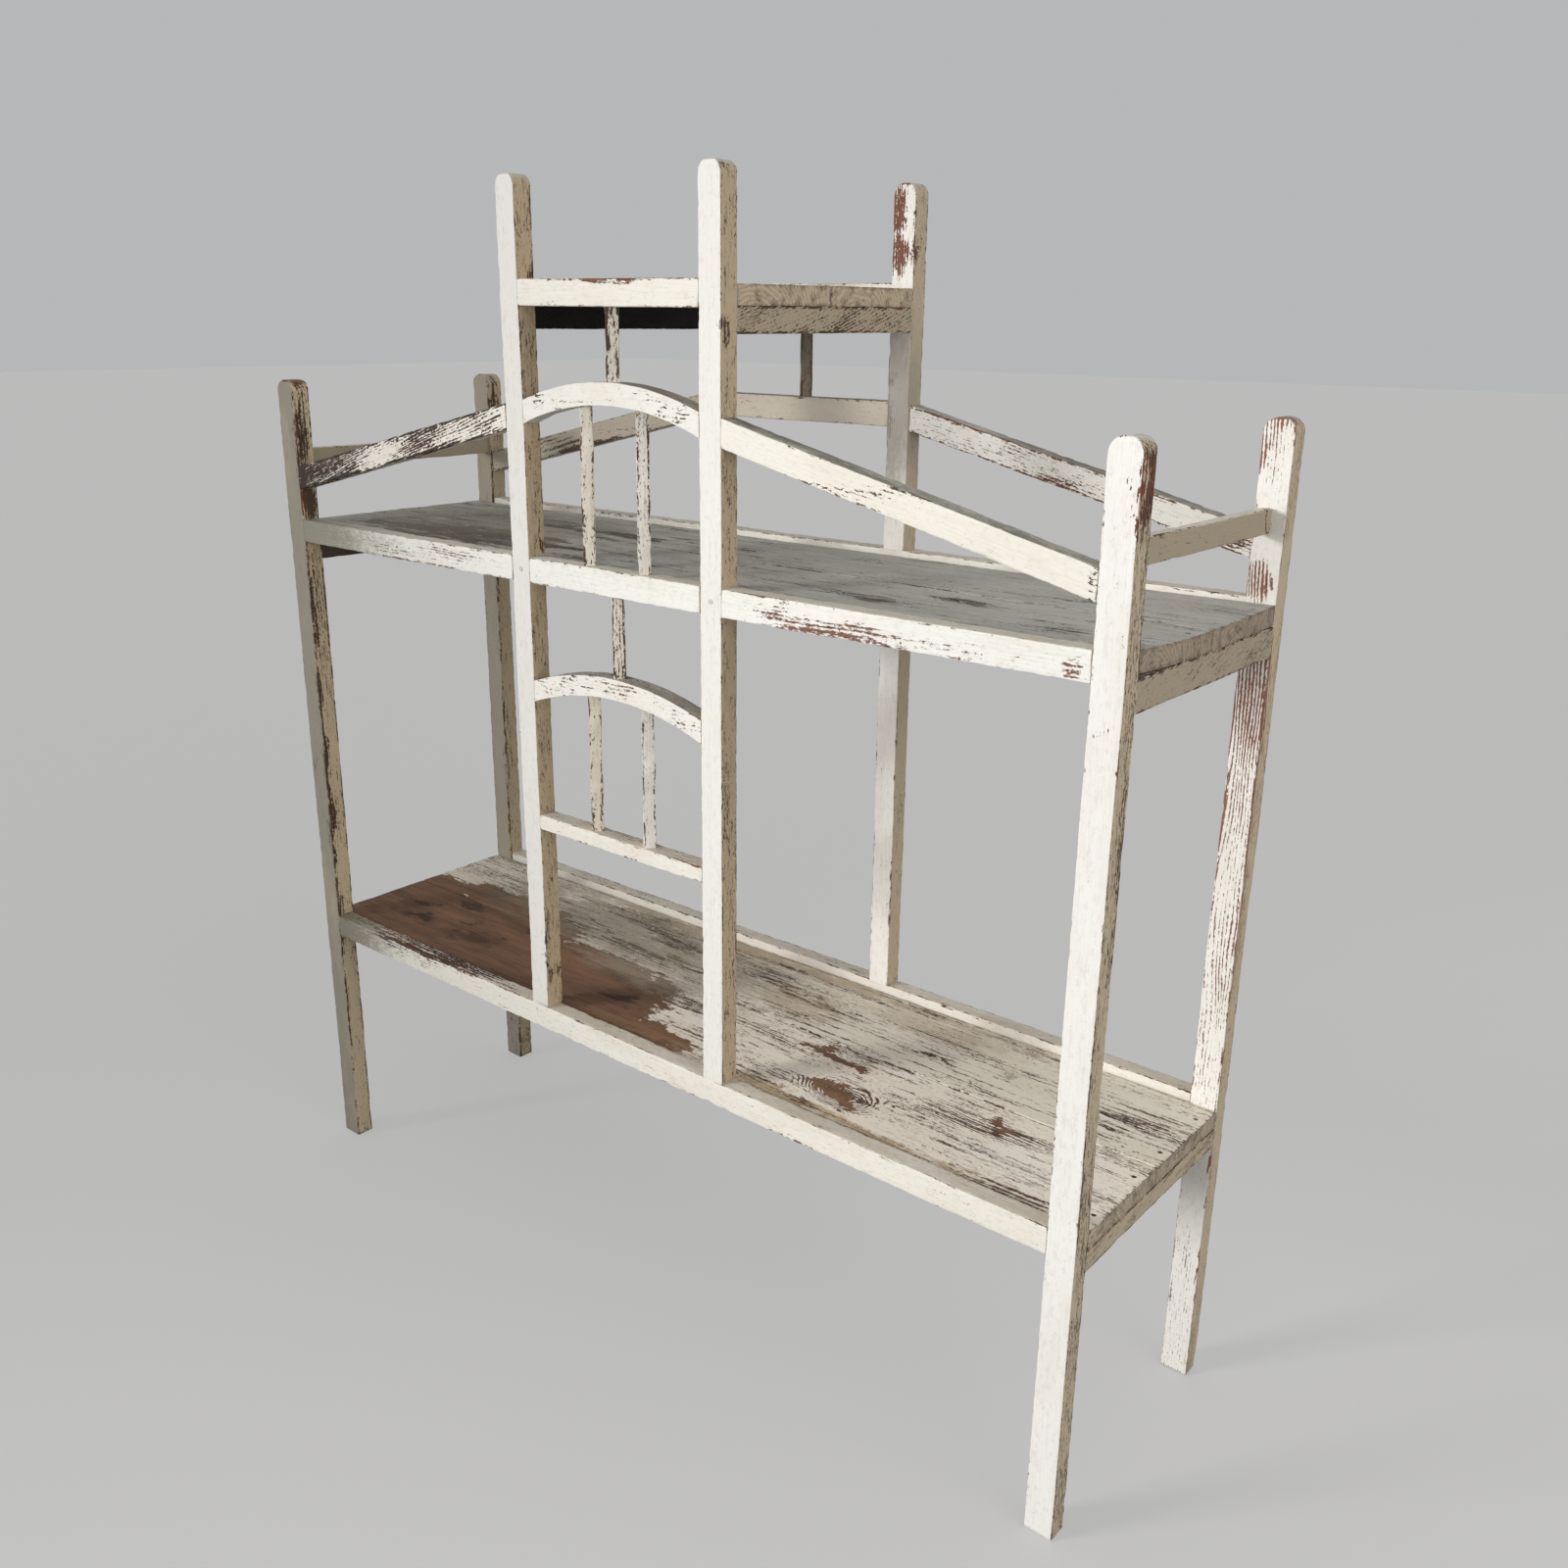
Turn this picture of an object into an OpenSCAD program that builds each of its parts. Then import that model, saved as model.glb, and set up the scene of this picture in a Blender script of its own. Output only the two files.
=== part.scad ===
// Three-shelf plant rack in painted wood: four corner posts, four taller centre posts,
// railed shelves on three levels, sloping side rails and an arched trellis in front.
// Millimetres. +X runs along the shelves to the right, -Y is the front, +Z is up, and the
// origin is on the floor under the middle of the rack.

/* [Frame] */
// Length over the corner posts
frame_len = 1326; // [1000:1:1700]
// Depth over the posts, front to back
frame_depth = 374; // [300:1:550]
// Height of the corner posts
corner_h = 1200; // [1150:1:1400]
// Height of the centre posts' tops above the floor
centre_h = 1446; // [1400:1:1700]
// Width over the centre posts
centre_len = 350; // [280:1:520]

/* [Posts] */
// Width of a corner post, seen from the front
corner_w = 35; // [30:0.5:60]
// Width of a centre post, seen from the front
centre_w = 32; // [28:0.5:50]
// Depth of every post, front to back
post_d = 27; // [25:0.5:45]
// Rounding of a corner post's top, seen from the front
corner_round = 17; // [3:0.5:17]
// Rounding of a centre post's top, seen from the front
centre_round = 15.5; // [3:0.5:16]
// Rounding of every post's top, seen from the end
side_round = 2.5; // [2:0.5:12]
// Chamfer round each foot
foot_chamfer = 2; // [0.5:0.5:5]
// Eased edge on the posts, rails and boards
arris = 1.5; // [0.5:0.1:3]

/* [Shelves] */
// Height of the lower shelf's top
lower_shelf_z = 387; // [200:1:560]
// How far the corner posts stand above the middle shelf
corner_above = 198; // [185:1:240]
// How far the centre posts stand above the top shelf
centre_above = 120; // [60:1:150]
// Thickness of the shelf boards
board_t = 22; // [14:0.5:28]
// Gap between the boards and the posts beside them
board_gap = 0.8; // [0.4:0.1:4]
// Gap between the two boards of a shelf
seam = 1; // [0.4:0.1:4]
// How far the front rails stand above the boards
front_proud = 5; // [0:0.5:10]
// How far the lower back rail stands above the boards
lower_back_proud = 11; // [0:0.5:20]
// How far the middle back rail stands above the boards
middle_back_proud = 7; // [0:0.5:20]
// How far the top back rail stands above the boards
top_back_proud = 7; // [0:0.5:20]

/* [Rails] */
// Thickness of every shelf rail, arch and sloping rail
rail_t = 24; // [22:0.5:27]
// Height of the lower front and back rails
lower_rail_h = 33; // [26:0.5:60]
// Height of the middle front and back rails
middle_rail_h = 32; // [26:0.5:50]
// Height of the top front and back rails
top_rail_h = 30; // [24:0.5:45]
// Height of the lower end rails
lower_end_h = 27; // [22:0.5:60]
// Height of the middle end rails
middle_end_h = 34; // [22:0.5:60]
// Height of the top end rails
top_end_h = 29; // [22:0.5:60]
// How far the lower edge of a guard rail is below the corner posts' tops
guard_drop = 121; // [90:1:150]
// Height of a guard rail, edge to edge
guard_h = 27; // [20:0.5:45]
// Thickness of a guard rail
guard_t = 14; // [11:0.5:17]
// How far a guard rail stands back from the posts' outer faces
guard_inset = 16; // [2:0.5:17]

/* [Sloping rails] */
// Top edge of a sloping rail at its centre post, as a part of the way from the middle shelf to the top one
slope_high_part = 0.58; // [0.5:0.01:0.7]
// How far that edge is below the corner posts' tops at its lower end
slope_low_drop = 118; // [60:1:130]
// Depth of a sloping rail, square to its length
slope_h = 31; // [24:0.5:40]
// Length of a sloping rail's tenons
slope_tenon = 10; // [6:0.5:13]

/* [Trellis] */
// Underside of the upper arch at the centre posts, as a part of the way from the middle shelf to the top one
upper_arch_part = 0.51; // [0.4:0.01:0.56]
// Underside of the lower arch at the centre posts, as a part of the way from the lower shelf to the middle one
lower_arch_part = 0.709; // [0.64:0.001:0.77]
// Rise of both arches at the middle
arch_rise = 27; // [15:0.5:45]
// Depth of both arches, square to the curve
arch_t = 25.5; // [20:0.5:32]
// Underside of the straight trellis rail, as a part of the way from the lower shelf to the middle one
trellis_rail_part = 0.429; // [0.2:0.001:0.54]
// Height of the straight trellis rail, edge to edge
trellis_rail_h = 20; // [17:0.5:32]
// Underside of the straight rail between the back centre posts, as a part of the way between those shelves
back_rail_part = 0.494; // [0.37:0.001:0.6]
// Height of that back rail, edge to edge
back_rail_h = 31; // [24:0.5:45]
// Side of a square baluster, which stands cornerwise
baluster_side = 14; // [9:0.5:15]
// Distance between the balusters of a pair
pair_gap = 92; // [60:1:130]
// How deep a baluster's ends are let into the wood
housing = 6; // [3:0.5:8]

/* [Joints] */
// Thickness of the tenons
tenon_t = 9; // [6:0.5:11]
// Shoulder above and below each tenon
shoulder = 5; // [2:0.5:6]
// Wood left between two tenons in one post
tenon_wall = 2; // [1:0.5:4]
// Wood left outside the tenons of the end rails
end_wall = 12; // [8:0.5:16]
// Length of the stub tenon under a centre post
stub_len = 12; // [6:0.5:18]
// Depth of the crossing joints, from the outer face
lap_depth = 12; // [9:0.5:15]
// Clearance round each tenon, stub and baluster end
fit_gap = 0.2; // [0.1:0.05:0.3]

/* [Nails] */
// Diameter of a nail's shank
nail_d = 2.6; // [1.6:0.1:3.6]
// Diameter of a nail's head
nail_head_d = 6; // [4.5:0.1:8]
// Thickness of a nail's head
nail_head_h = 1.2; // [0.6:0.1:2]
// How far the nail heads are sunk below the wood
nail_sink = 0.4; // [0:0.1:1]
// Length of the nails in the shelves
board_nail_len = 38; // [32:0.5:42]
// Length of the nails in the crossing joints
crossing_nail_len = 19; // [16:0.5:21]
// Distance of the shelf nails from the boards' long edges
nail_edge = 32; // [15:0.5:50]
// Clearance round each nail
nail_gap = 0.1; // [0.05:0.05:0.2]

/* [Hidden] */

// Faces that the pieces share
x_end = frame_len / 2;
y_face = frame_depth / 2;
corner_in = x_end - corner_w;
centre_out = centre_len / 2;
centre_in = centre_out - centre_w;
rail_mid_y = y_face - rail_t / 2;
post_in_y = y_face - post_d;
board_edge_y = y_face - max(post_d, rail_t) - board_gap;
board_w = board_edge_y - seam / 2;

// Heights of the shelves' tops, and of what is set between them
middle_shelf_z = corner_h - corner_above;
top_shelf_z = centre_h - centre_above;
lower_bay = middle_shelf_z - lower_shelf_z;
upper_bay = top_shelf_z - middle_shelf_z;
guard_z = corner_h - guard_drop;
slope_low_z = corner_h - slope_low_drop;
slope_high_z = middle_shelf_z + slope_high_part * upper_bay;
upper_arch_z = middle_shelf_z + upper_arch_part * upper_bay;
back_rail_z = middle_shelf_z + back_rail_part * upper_bay;
lower_arch_z = lower_shelf_z + lower_arch_part * lower_bay;
trellis_rail_z = lower_shelf_z + trellis_rail_part * lower_bay;

// Tops of the long rails
lower_front_z = lower_shelf_z + front_proud;
lower_back_z = lower_shelf_z + lower_back_proud;
middle_front_z = middle_shelf_z + front_proud;
middle_back_z = middle_shelf_z + middle_back_proud;
top_front_z = top_shelf_z + front_proud;
top_back_z = top_shelf_z + top_back_proud;

// Tenon lengths that keep the tenons of one post apart
corner_tenon = corner_w - (rail_t + tenon_t) / 2 - tenon_wall;
centre_tenon = centre_w - (rail_t + tenon_t) / 2 - tenon_wall;
end_tenon = post_d - end_wall;
guard_tenon = post_d - (rail_t + tenon_t) / 2 - tenon_wall;
guard_tenon_t = guard_t - shoulder;
// Length by which a tenon starts inside its own rail
root = 2;
// Least flat left across a rounded post top
top_flat = 1;
// Length by which a cut runs clear of the wood
clear = 3;

// Circles of the arches: the underside passes through both springings and the crown
arch_ri = (centre_in * centre_in + arch_rise * arch_rise) / (2 * arch_rise);
arch_ro = arch_ri + arch_t;
arch_end_h = sqrt(arch_ro * arch_ro - centre_in * centre_in) - (arch_ri - arch_rise);

// Slope of the side rails
slope_run = corner_in - centre_out;
slope_angle = atan((slope_high_z - slope_low_z) / slope_run);
slope_cut = slope_h / cos(slope_angle);

post_colour = [0.91, 0.89, 0.83];
rail_colour = [0.86, 0.83, 0.76];
board_colour = [0.66, 0.62, 0.56];
worn_board_colour = [0.52, 0.42, 0.35];
trellis_colour = [0.82, 0.77, 0.67];
nail_colour = [0.30, 0.25, 0.22];
fine = 96;
arc_fine = 360;

// Height of an arch's underside above its springing, x from the middle
function soffit(x) = sqrt(arch_ri * arch_ri - x * x) - (arch_ri - arch_rise);
// Height of an arch's top above its springing, x from the middle
function extrados(x) = sqrt(arch_ro * arch_ro - x * x) - (arch_ri - arch_rise);

// Rectangle from the origin with four eased corners
module eased_rect(w, h, r) {
    translate([r, 0]) square([w - 2 * r, h]);
    translate([0, r]) square([w, h - 2 * r]);
    for (x = [r, w - r], y = [r, h - r]) translate([x, y]) circle(r = r, $fn = fine);
}

// Upright outline with a chamfered foot and a rounded top, centred on x = 0
module post_outline(w, h, foot, r, c) {
    half = w / 2;
    base = c > 0 ? [[-half, foot + c], [-half + c, foot], [half - c, foot], [half, foot + c]]
                 : [[-half, foot], [half, foot]];
    polygon(concat(base, [[half, h - r], [half - r, h - r], [half - r, h],
                          [-half + r, h], [-half + r, h - r], [-half, h - r]]));
    for (s = [-1, 1]) translate([s * (half - r), h - r]) circle(r = r, $fn = fine);
}

// A post from its foot to its rounded top, centred on the z axis
module post_blank(w, d, foot, h, r, c) {
    r_front = min(r, (w - top_flat) / 2);
    r_side = min(side_round, (d - top_flat) / 2);
    intersection() {
        translate([-w / 2, -d / 2, foot]) linear_extrude(h - foot) eased_rect(w, d, arris);
        translate([0, d, 0]) rotate([90, 0, 0])
            linear_extrude(2 * d) post_outline(w, h, foot, r_front, c);
        translate([-w, 0, 0]) rotate([90, 0, 90])
            linear_extrude(2 * w) post_outline(d, h, foot, r_side, c);
    }
}

// Bar along X with eased edges, its outer face on the rack's front
module bar_x(x0, x1, z_top, h) {
    translate([x0, -y_face, z_top - h]) rotate([90, 0, 90])
        linear_extrude(x1 - x0) eased_rect(rail_t, h, arris);
}

// Bar along Y with eased edges, between the front and back posts
module bar_y(x0, z_top, w, h) {
    translate([x0, post_in_y, z_top - h]) rotate([90, 0, 0])
        linear_extrude(2 * post_in_y) eased_rect(w, h, arris);
}

// Tenon along X on the front rails' centre plane. dir is its direction, gap widens it to a mortise
module tenon_x(face, dir, len, z_low, z_high, gap = 0) {
    start = gap > 0 ? clear : root;
    x0 = dir > 0 ? face - start : face - len - gap;
    translate([x0, -rail_mid_y - tenon_t / 2 - gap, z_low + shoulder - gap])
        cube([start + len + gap, tenon_t + 2 * gap, z_high - z_low - 2 * shoulder + 2 * gap]);
}

// Tenons along Y at both ends of an end rail or guard rail
module tenons_y(x_mid, t, len, z_low, z_high, gap = 0) {
    reach = post_in_y + len + gap;
    translate([x_mid - t / 2 - gap, -reach, z_low + shoulder - gap])
        cube([t + 2 * gap, 2 * reach, z_high - z_low - 2 * shoulder + 2 * gap]);
}

// Square stick that stands cornerwise on the trellis's centre plane
module stick(x, z_low, z_high, gap = 0) {
    side = baluster_side + 2 * gap;
    translate([x, -rail_mid_y, z_low]) rotate([0, 0, 45])
        translate([-side / 2, -side / 2, 0]) cube([side, side, z_high - z_low]);
}

// Pocket for a stick's upper end, cut up from a surface at z
module pocket_up(x, z) stick(x, z - clear - arch_rise / 2, z + housing, fit_gap);
// Pocket for a stick's lower end, cut down from a surface at z
module pocket_down(x, z) stick(x, z - housing, z + clear + arch_rise / 2, fit_gap);
// Stick between two pockets, standing on the lower one's floor
module baluster(x, z_low, z_high) {
    color(trellis_colour) stick(x, z_low - housing, z_high + housing - fit_gap);
}

// The front half of the frame is drawn once and turned about the middle for the back
module at_back(back) mirror([0, back ? 1 : 0, 0]) children();
module at_left(left) mirror([left ? 1 : 0, 0, 0]) children();

// Corner post, drawn at the front right
module corner_post(left, back) {
    lower_z = back ? lower_back_z : lower_front_z;
    middle_z = back ? middle_back_z : middle_front_z;
    end_mid_x = x_end - rail_t / 2;
    guard_mid_x = x_end - guard_inset - guard_t / 2;
    color(post_colour) at_left(left) at_back(back) difference() {
        translate([x_end - corner_w / 2, -y_face + post_d / 2, 0])
            post_blank(corner_w, post_d, 0, corner_h, corner_round, foot_chamfer);
        tenon_x(corner_in, 1, corner_tenon, lower_z - lower_rail_h, lower_z, fit_gap);
        tenon_x(corner_in, 1, corner_tenon, middle_z - middle_rail_h, middle_z, fit_gap);
        tenon_x(corner_in, 1, slope_tenon, slope_low_z - slope_cut, slope_low_z, fit_gap);
        tenons_y(end_mid_x, tenon_t, end_tenon, lower_shelf_z - board_t - lower_end_h,
                 lower_shelf_z - board_t, fit_gap);
        tenons_y(end_mid_x, tenon_t, end_tenon, middle_shelf_z - board_t - middle_end_h,
                 middle_shelf_z - board_t, fit_gap);
        tenons_y(guard_mid_x, guard_tenon_t, guard_tenon, guard_z, guard_z + guard_h, fit_gap);
    }
}

// Shank and sunk head of a nail that points down, its head at z = 0. gap widens it to its hole
module nail(len, gap = 0) {
    lift = gap > 0 ? clear : -nail_sink;
    head_low = -nail_sink - nail_head_h;
    translate([0, 0, head_low]) cylinder(h = lift - head_low, d = nail_head_d + 2 * gap, $fn = fine);
    translate([0, 0, -len - gap])
        cylinder(h = len + gap + head_low + nail_head_h / 2, d = nail_d + 2 * gap, $fn = fine);
}

// Nail driven in from the front through a crossing joint
module crossing_nail(z_top, gap = 0) {
    translate([centre_out - centre_w / 2, -y_face, z_top - middle_rail_h / 2])
        rotate([90, 0, 0]) nail(crossing_nail_len, gap);
}

// Tenon under a centre post
module stub(z, gap = 0) {
    w = centre_w - 2 * shoulder;
    top = gap > 0 ? clear : root;
    low = [centre_out - centre_w / 2 - w / 2 - gap, -rail_mid_y - tenon_t / 2 - gap, z - stub_len - gap];
    translate(low)
        cube([w + 2 * gap, tenon_t + 2 * gap, stub_len + top + gap]);
}

// Centre post, drawn at the front right. It stands on the lower rail and is halved over the middle one
module centre_post(left, back) {
    lower_z = back ? lower_back_z : lower_front_z;
    middle_z = back ? middle_back_z : middle_front_z;
    top_z = back ? top_back_z : top_front_z;
    color(post_colour) at_left(left) at_back(back) difference() {
        union() {
            translate([centre_out - centre_w / 2, -y_face + post_d / 2, 0])
                post_blank(centre_w, post_d, lower_z, centre_h, centre_round, 0);
            stub(lower_z);
        }
        translate([centre_in - clear, -y_face + lap_depth, middle_z - middle_rail_h - fit_gap])
            cube([centre_w + 2 * clear, post_d, middle_rail_h + 2 * fit_gap]);
        crossing_nail(middle_z, nail_gap);
        tenon_x(centre_in, 1, centre_tenon, top_z - top_rail_h, top_z, fit_gap);
        tenon_x(centre_out, -1, slope_tenon, slope_high_z - slope_cut, slope_high_z, fit_gap);
        tenons_y(centre_out - rail_t / 2, tenon_t, end_tenon, top_shelf_z - board_t - top_end_h,
                 top_shelf_z - board_t, fit_gap);
        if (back) {
            tenon_x(centre_in, 1, centre_tenon, back_rail_z, back_rail_z + back_rail_h, fit_gap);
        } else {
            tenon_x(centre_in, 1, centre_tenon, upper_arch_z, upper_arch_z + arch_end_h, fit_gap);
            tenon_x(centre_in, 1, centre_tenon, lower_arch_z, lower_arch_z + arch_end_h, fit_gap);
            tenon_x(centre_in, 1, centre_tenon, trellis_rail_z, trellis_rail_z + trellis_rail_h, fit_gap);
        }
    }
}

// Rail along X with a tenon at each end
module tenoned_rail(reach, len, z_top, h) {
    bar_x(-reach, reach, z_top, h);
    for (s = [-1, 1]) tenon_x(s * reach, s, len, z_top - h, z_top);
}

// Lower long rail: it carries two centre posts on its top
module lower_rail(back) {
    z = back ? lower_back_z : lower_front_z;
    color(rail_colour) at_back(back) difference() {
        tenoned_rail(corner_in, corner_tenon, z, lower_rail_h);
        for (s = [0, 1]) mirror([s, 0, 0]) stub(z, fit_gap);
    }
}

// Middle long rail: one length from corner to corner, halved where the centre posts cross it
module middle_rail(back) {
    z = back ? middle_back_z : middle_front_z;
    color(rail_colour) at_back(back) difference() {
        tenoned_rail(corner_in, corner_tenon, z, middle_rail_h);
        for (s = [0, 1]) mirror([s, 0, 0]) {
            translate([centre_in - fit_gap, -y_face - clear, z - middle_rail_h - clear])
                cube([centre_w + 2 * fit_gap, lap_depth + clear, middle_rail_h + 2 * clear]);
            crossing_nail(z, nail_gap);
        }
        if (!back) {
            for (s = [-1, 1]) pocket_down(s * pair_gap / 2, z);
            pocket_up(0, z - middle_rail_h);
        }
    }
}

// Top long rail, between two centre posts, with the pocket of one baluster
module top_rail(back) {
    z = back ? top_back_z : top_front_z;
    color(rail_colour) at_back(back) difference() {
        tenoned_rail(centre_in, centre_tenon, z, top_rail_h);
        pocket_up(0, z - top_rail_h);
    }
}

// End rail under the boards' ends, drawn on the right, with the nail holes of its shelf
module end_rail(left, x_out, z_top, h) {
    color(rail_colour) at_left(left) difference() {
        union() {
            bar_y(x_out - rail_t, z_top, rail_t, h);
            tenons_y(x_out - rail_t / 2, tenon_t, end_tenon, z_top - h, z_top);
        }
        shelf_nails(x_out, z_top + board_t, nail_gap);
    }
}

module lower_end_rail(left) end_rail(left, x_end, lower_shelf_z - board_t, lower_end_h);
module middle_end_rail(left) end_rail(left, x_end, middle_shelf_z - board_t, middle_end_h);
module top_end_rail(left) end_rail(left, centre_out, top_shelf_z - board_t, top_end_h);

// The four nails of one end of a shelf
module shelf_nails(x_out, z, gap = 0) {
    for (y = [seam / 2 + nail_edge, board_edge_y - nail_edge], s = [-1, 1])
        translate([x_out - rail_t / 2, s * y, z]) nail(board_nail_len, gap);
}

// The eight nails of a shelf
module board_nails(x_out, z) {
    color(nail_colour) for (s = [0, 1]) mirror([s, 0, 0]) shelf_nails(x_out, z);
}

// One board of a shelf, with its nail holes
module board(back, x_out, z, colour) {
    color(colour) at_back(back) difference() {
        translate([-x_out, -board_edge_y, z - board_t]) rotate([90, 0, 90])
            linear_extrude(2 * x_out) eased_rect(board_w, board_t, arris);
        for (s = [0, 1]) mirror([s, 0, 0]) shelf_nails(x_out, z, nail_gap);
    }
}

// Straight rail that slopes from a centre post down to a corner post, drawn at the front right
module sloping_rail(left, back) {
    color(rail_colour) at_left(left) at_back(back) {
        intersection() {
            translate([centre_out, -y_face, slope_high_z]) rotate([0, slope_angle, 0])
                translate([-slope_h, 0, -slope_h]) rotate([90, 0, 90])
                    linear_extrude(slope_run / cos(slope_angle) + 2 * slope_h)
                        eased_rect(rail_t, slope_h, arris);
            translate([centre_out, -y_face - clear, slope_low_z - 2 * slope_h])
                cube([slope_run, rail_t + 2 * clear, slope_high_z - slope_low_z + 3 * slope_h]);
        }
        tenon_x(centre_out, -1, slope_tenon, slope_high_z - slope_cut, slope_high_z);
        tenon_x(corner_in, 1, slope_tenon, slope_low_z - slope_cut, slope_low_z);
    }
}

// Guard rail across one end of the middle shelf, drawn on the right
module guard_rail(left) {
    x0 = x_end - guard_inset - guard_t;
    color(rail_colour) at_left(left) {
        bar_y(x0, guard_z + guard_h, guard_t, guard_h);
        tenons_y(x0 + guard_t / 2, guard_tenon_t, guard_tenon, guard_z, guard_z + guard_h);
    }
}

// Arch between the front centre posts, a ring cut off at the posts, with a tenon at each end
module arch(z) {
    translate([0, -y_face, z]) intersection() {
        translate([0, rail_t, arch_rise - arch_ri]) rotate([90, 0, 0]) linear_extrude(rail_t) difference() {
            circle(r = arch_ro, $fn = arc_fine);
            circle(r = arch_ri, $fn = arc_fine);
        }
        translate([-centre_in, -clear, -clear])
            cube([2 * centre_in, rail_t + 2 * clear, arch_rise + arch_t + 2 * clear]);
    }
    for (s = [-1, 1]) tenon_x(s * centre_in, s, centre_tenon, z, z + arch_end_h);
}

// Upper arch: one baluster stands on its crown and two end under it
module upper_arch() {
    color(rail_colour) difference() {
        arch(upper_arch_z);
        pocket_down(0, upper_arch_z + extrados(0));
        for (s = [-1, 1]) pocket_up(s * pair_gap / 2, upper_arch_z + soffit(pair_gap / 2));
    }
}

// Lower arch: one baluster stands on its crown and two end under it
module lower_arch() {
    color(rail_colour) difference() {
        arch(lower_arch_z);
        pocket_down(0, lower_arch_z + extrados(0));
        for (s = [-1, 1]) pocket_up(s * pair_gap / 2, lower_arch_z + soffit(pair_gap / 2));
    }
}

// Straight rail at the foot of the trellis, with the pockets of two balusters
module trellis_rail() {
    z = trellis_rail_z + trellis_rail_h;
    color(rail_colour) difference() {
        tenoned_rail(centre_in, centre_tenon, z, trellis_rail_h);
        for (s = [-1, 1]) pocket_down(s * pair_gap / 2, z);
    }
}

// Straight rail between the back centre posts, in place of an arch
module back_cross_rail() {
    z = back_rail_z + back_rail_h;
    color(rail_colour) at_back(true) difference() {
        tenoned_rail(centre_in, centre_tenon, z, back_rail_h);
        pocket_down(0, z);
    }
}

module baluster_top() baluster(0, upper_arch_z + extrados(0), top_front_z - top_rail_h);
module baluster_upper(side) baluster(side * pair_gap / 2, middle_front_z,
                                     upper_arch_z + soffit(pair_gap / 2));
module baluster_middle() baluster(0, lower_arch_z + extrados(0), middle_front_z - middle_rail_h);
module baluster_lower(side) baluster(side * pair_gap / 2, trellis_rail_z + trellis_rail_h,
                                     lower_arch_z + soffit(pair_gap / 2));
module baluster_back() at_back(true) baluster(0, back_rail_z + back_rail_h, top_back_z - top_rail_h);

// The four nails of the crossing joints
module crossing_nails() {
    color(nail_colour) for (s = [0, 1]) mirror([s, 0, 0]) {
        crossing_nail(middle_front_z);
        mirror([0, 1, 0]) crossing_nail(middle_back_z);
    }
}

corner_post(true, false);  // corner_post_front_left
corner_post(false, false);  // corner_post_front_right
corner_post(true, true);  // corner_post_back_left
corner_post(false, true);  // corner_post_back_right
centre_post(true, false);  // centre_post_front_left
centre_post(false, false);  // centre_post_front_right
centre_post(true, true);  // centre_post_back_left
centre_post(false, true);  // centre_post_back_right
lower_rail(false);  // lower_rail_front
lower_rail(true);  // lower_rail_back
lower_end_rail(true);  // lower_rail_left
lower_end_rail(false);  // lower_rail_right
middle_rail(false);  // middle_rail_front
middle_rail(true);  // middle_rail_back
middle_end_rail(true);  // middle_rail_left
middle_end_rail(false);  // middle_rail_right
top_rail(false);  // top_rail_front
top_rail(true);  // top_rail_back
top_end_rail(true);  // top_rail_left
top_end_rail(false);  // top_rail_right
board(false, x_end, lower_shelf_z, worn_board_colour);  // lower_board_front
board(true, x_end, lower_shelf_z, board_colour);  // lower_board_back
board(false, x_end, middle_shelf_z, board_colour);  // middle_board_front
board(true, x_end, middle_shelf_z, board_colour);  // middle_board_back
board(false, centre_out, top_shelf_z, board_colour);  // top_board_front
board(true, centre_out, top_shelf_z, board_colour);  // top_board_back
sloping_rail(true, false);  // sloping_rail_front_left
sloping_rail(false, false);  // sloping_rail_front_right
sloping_rail(true, true);  // sloping_rail_back_left
sloping_rail(false, true);  // sloping_rail_back_right
guard_rail(true);  // guard_rail_left
guard_rail(false);  // guard_rail_right
upper_arch();
lower_arch();
trellis_rail();
back_cross_rail();
baluster_top();
baluster_upper(-1);  // baluster_upper_left
baluster_upper(1);  // baluster_upper_right
baluster_middle();
baluster_lower(-1);  // baluster_lower_left
baluster_lower(1);  // baluster_lower_right
baluster_back();
board_nails(x_end, lower_shelf_z);  // lower_board_nails
board_nails(x_end, middle_shelf_z);  // middle_board_nails
board_nails(centre_out, top_shelf_z);  // top_board_nails
crossing_nails();
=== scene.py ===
import bmesh
import bpy
import math
from mathutils import Matrix, Vector, noise
from types import SimpleNamespace


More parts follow.
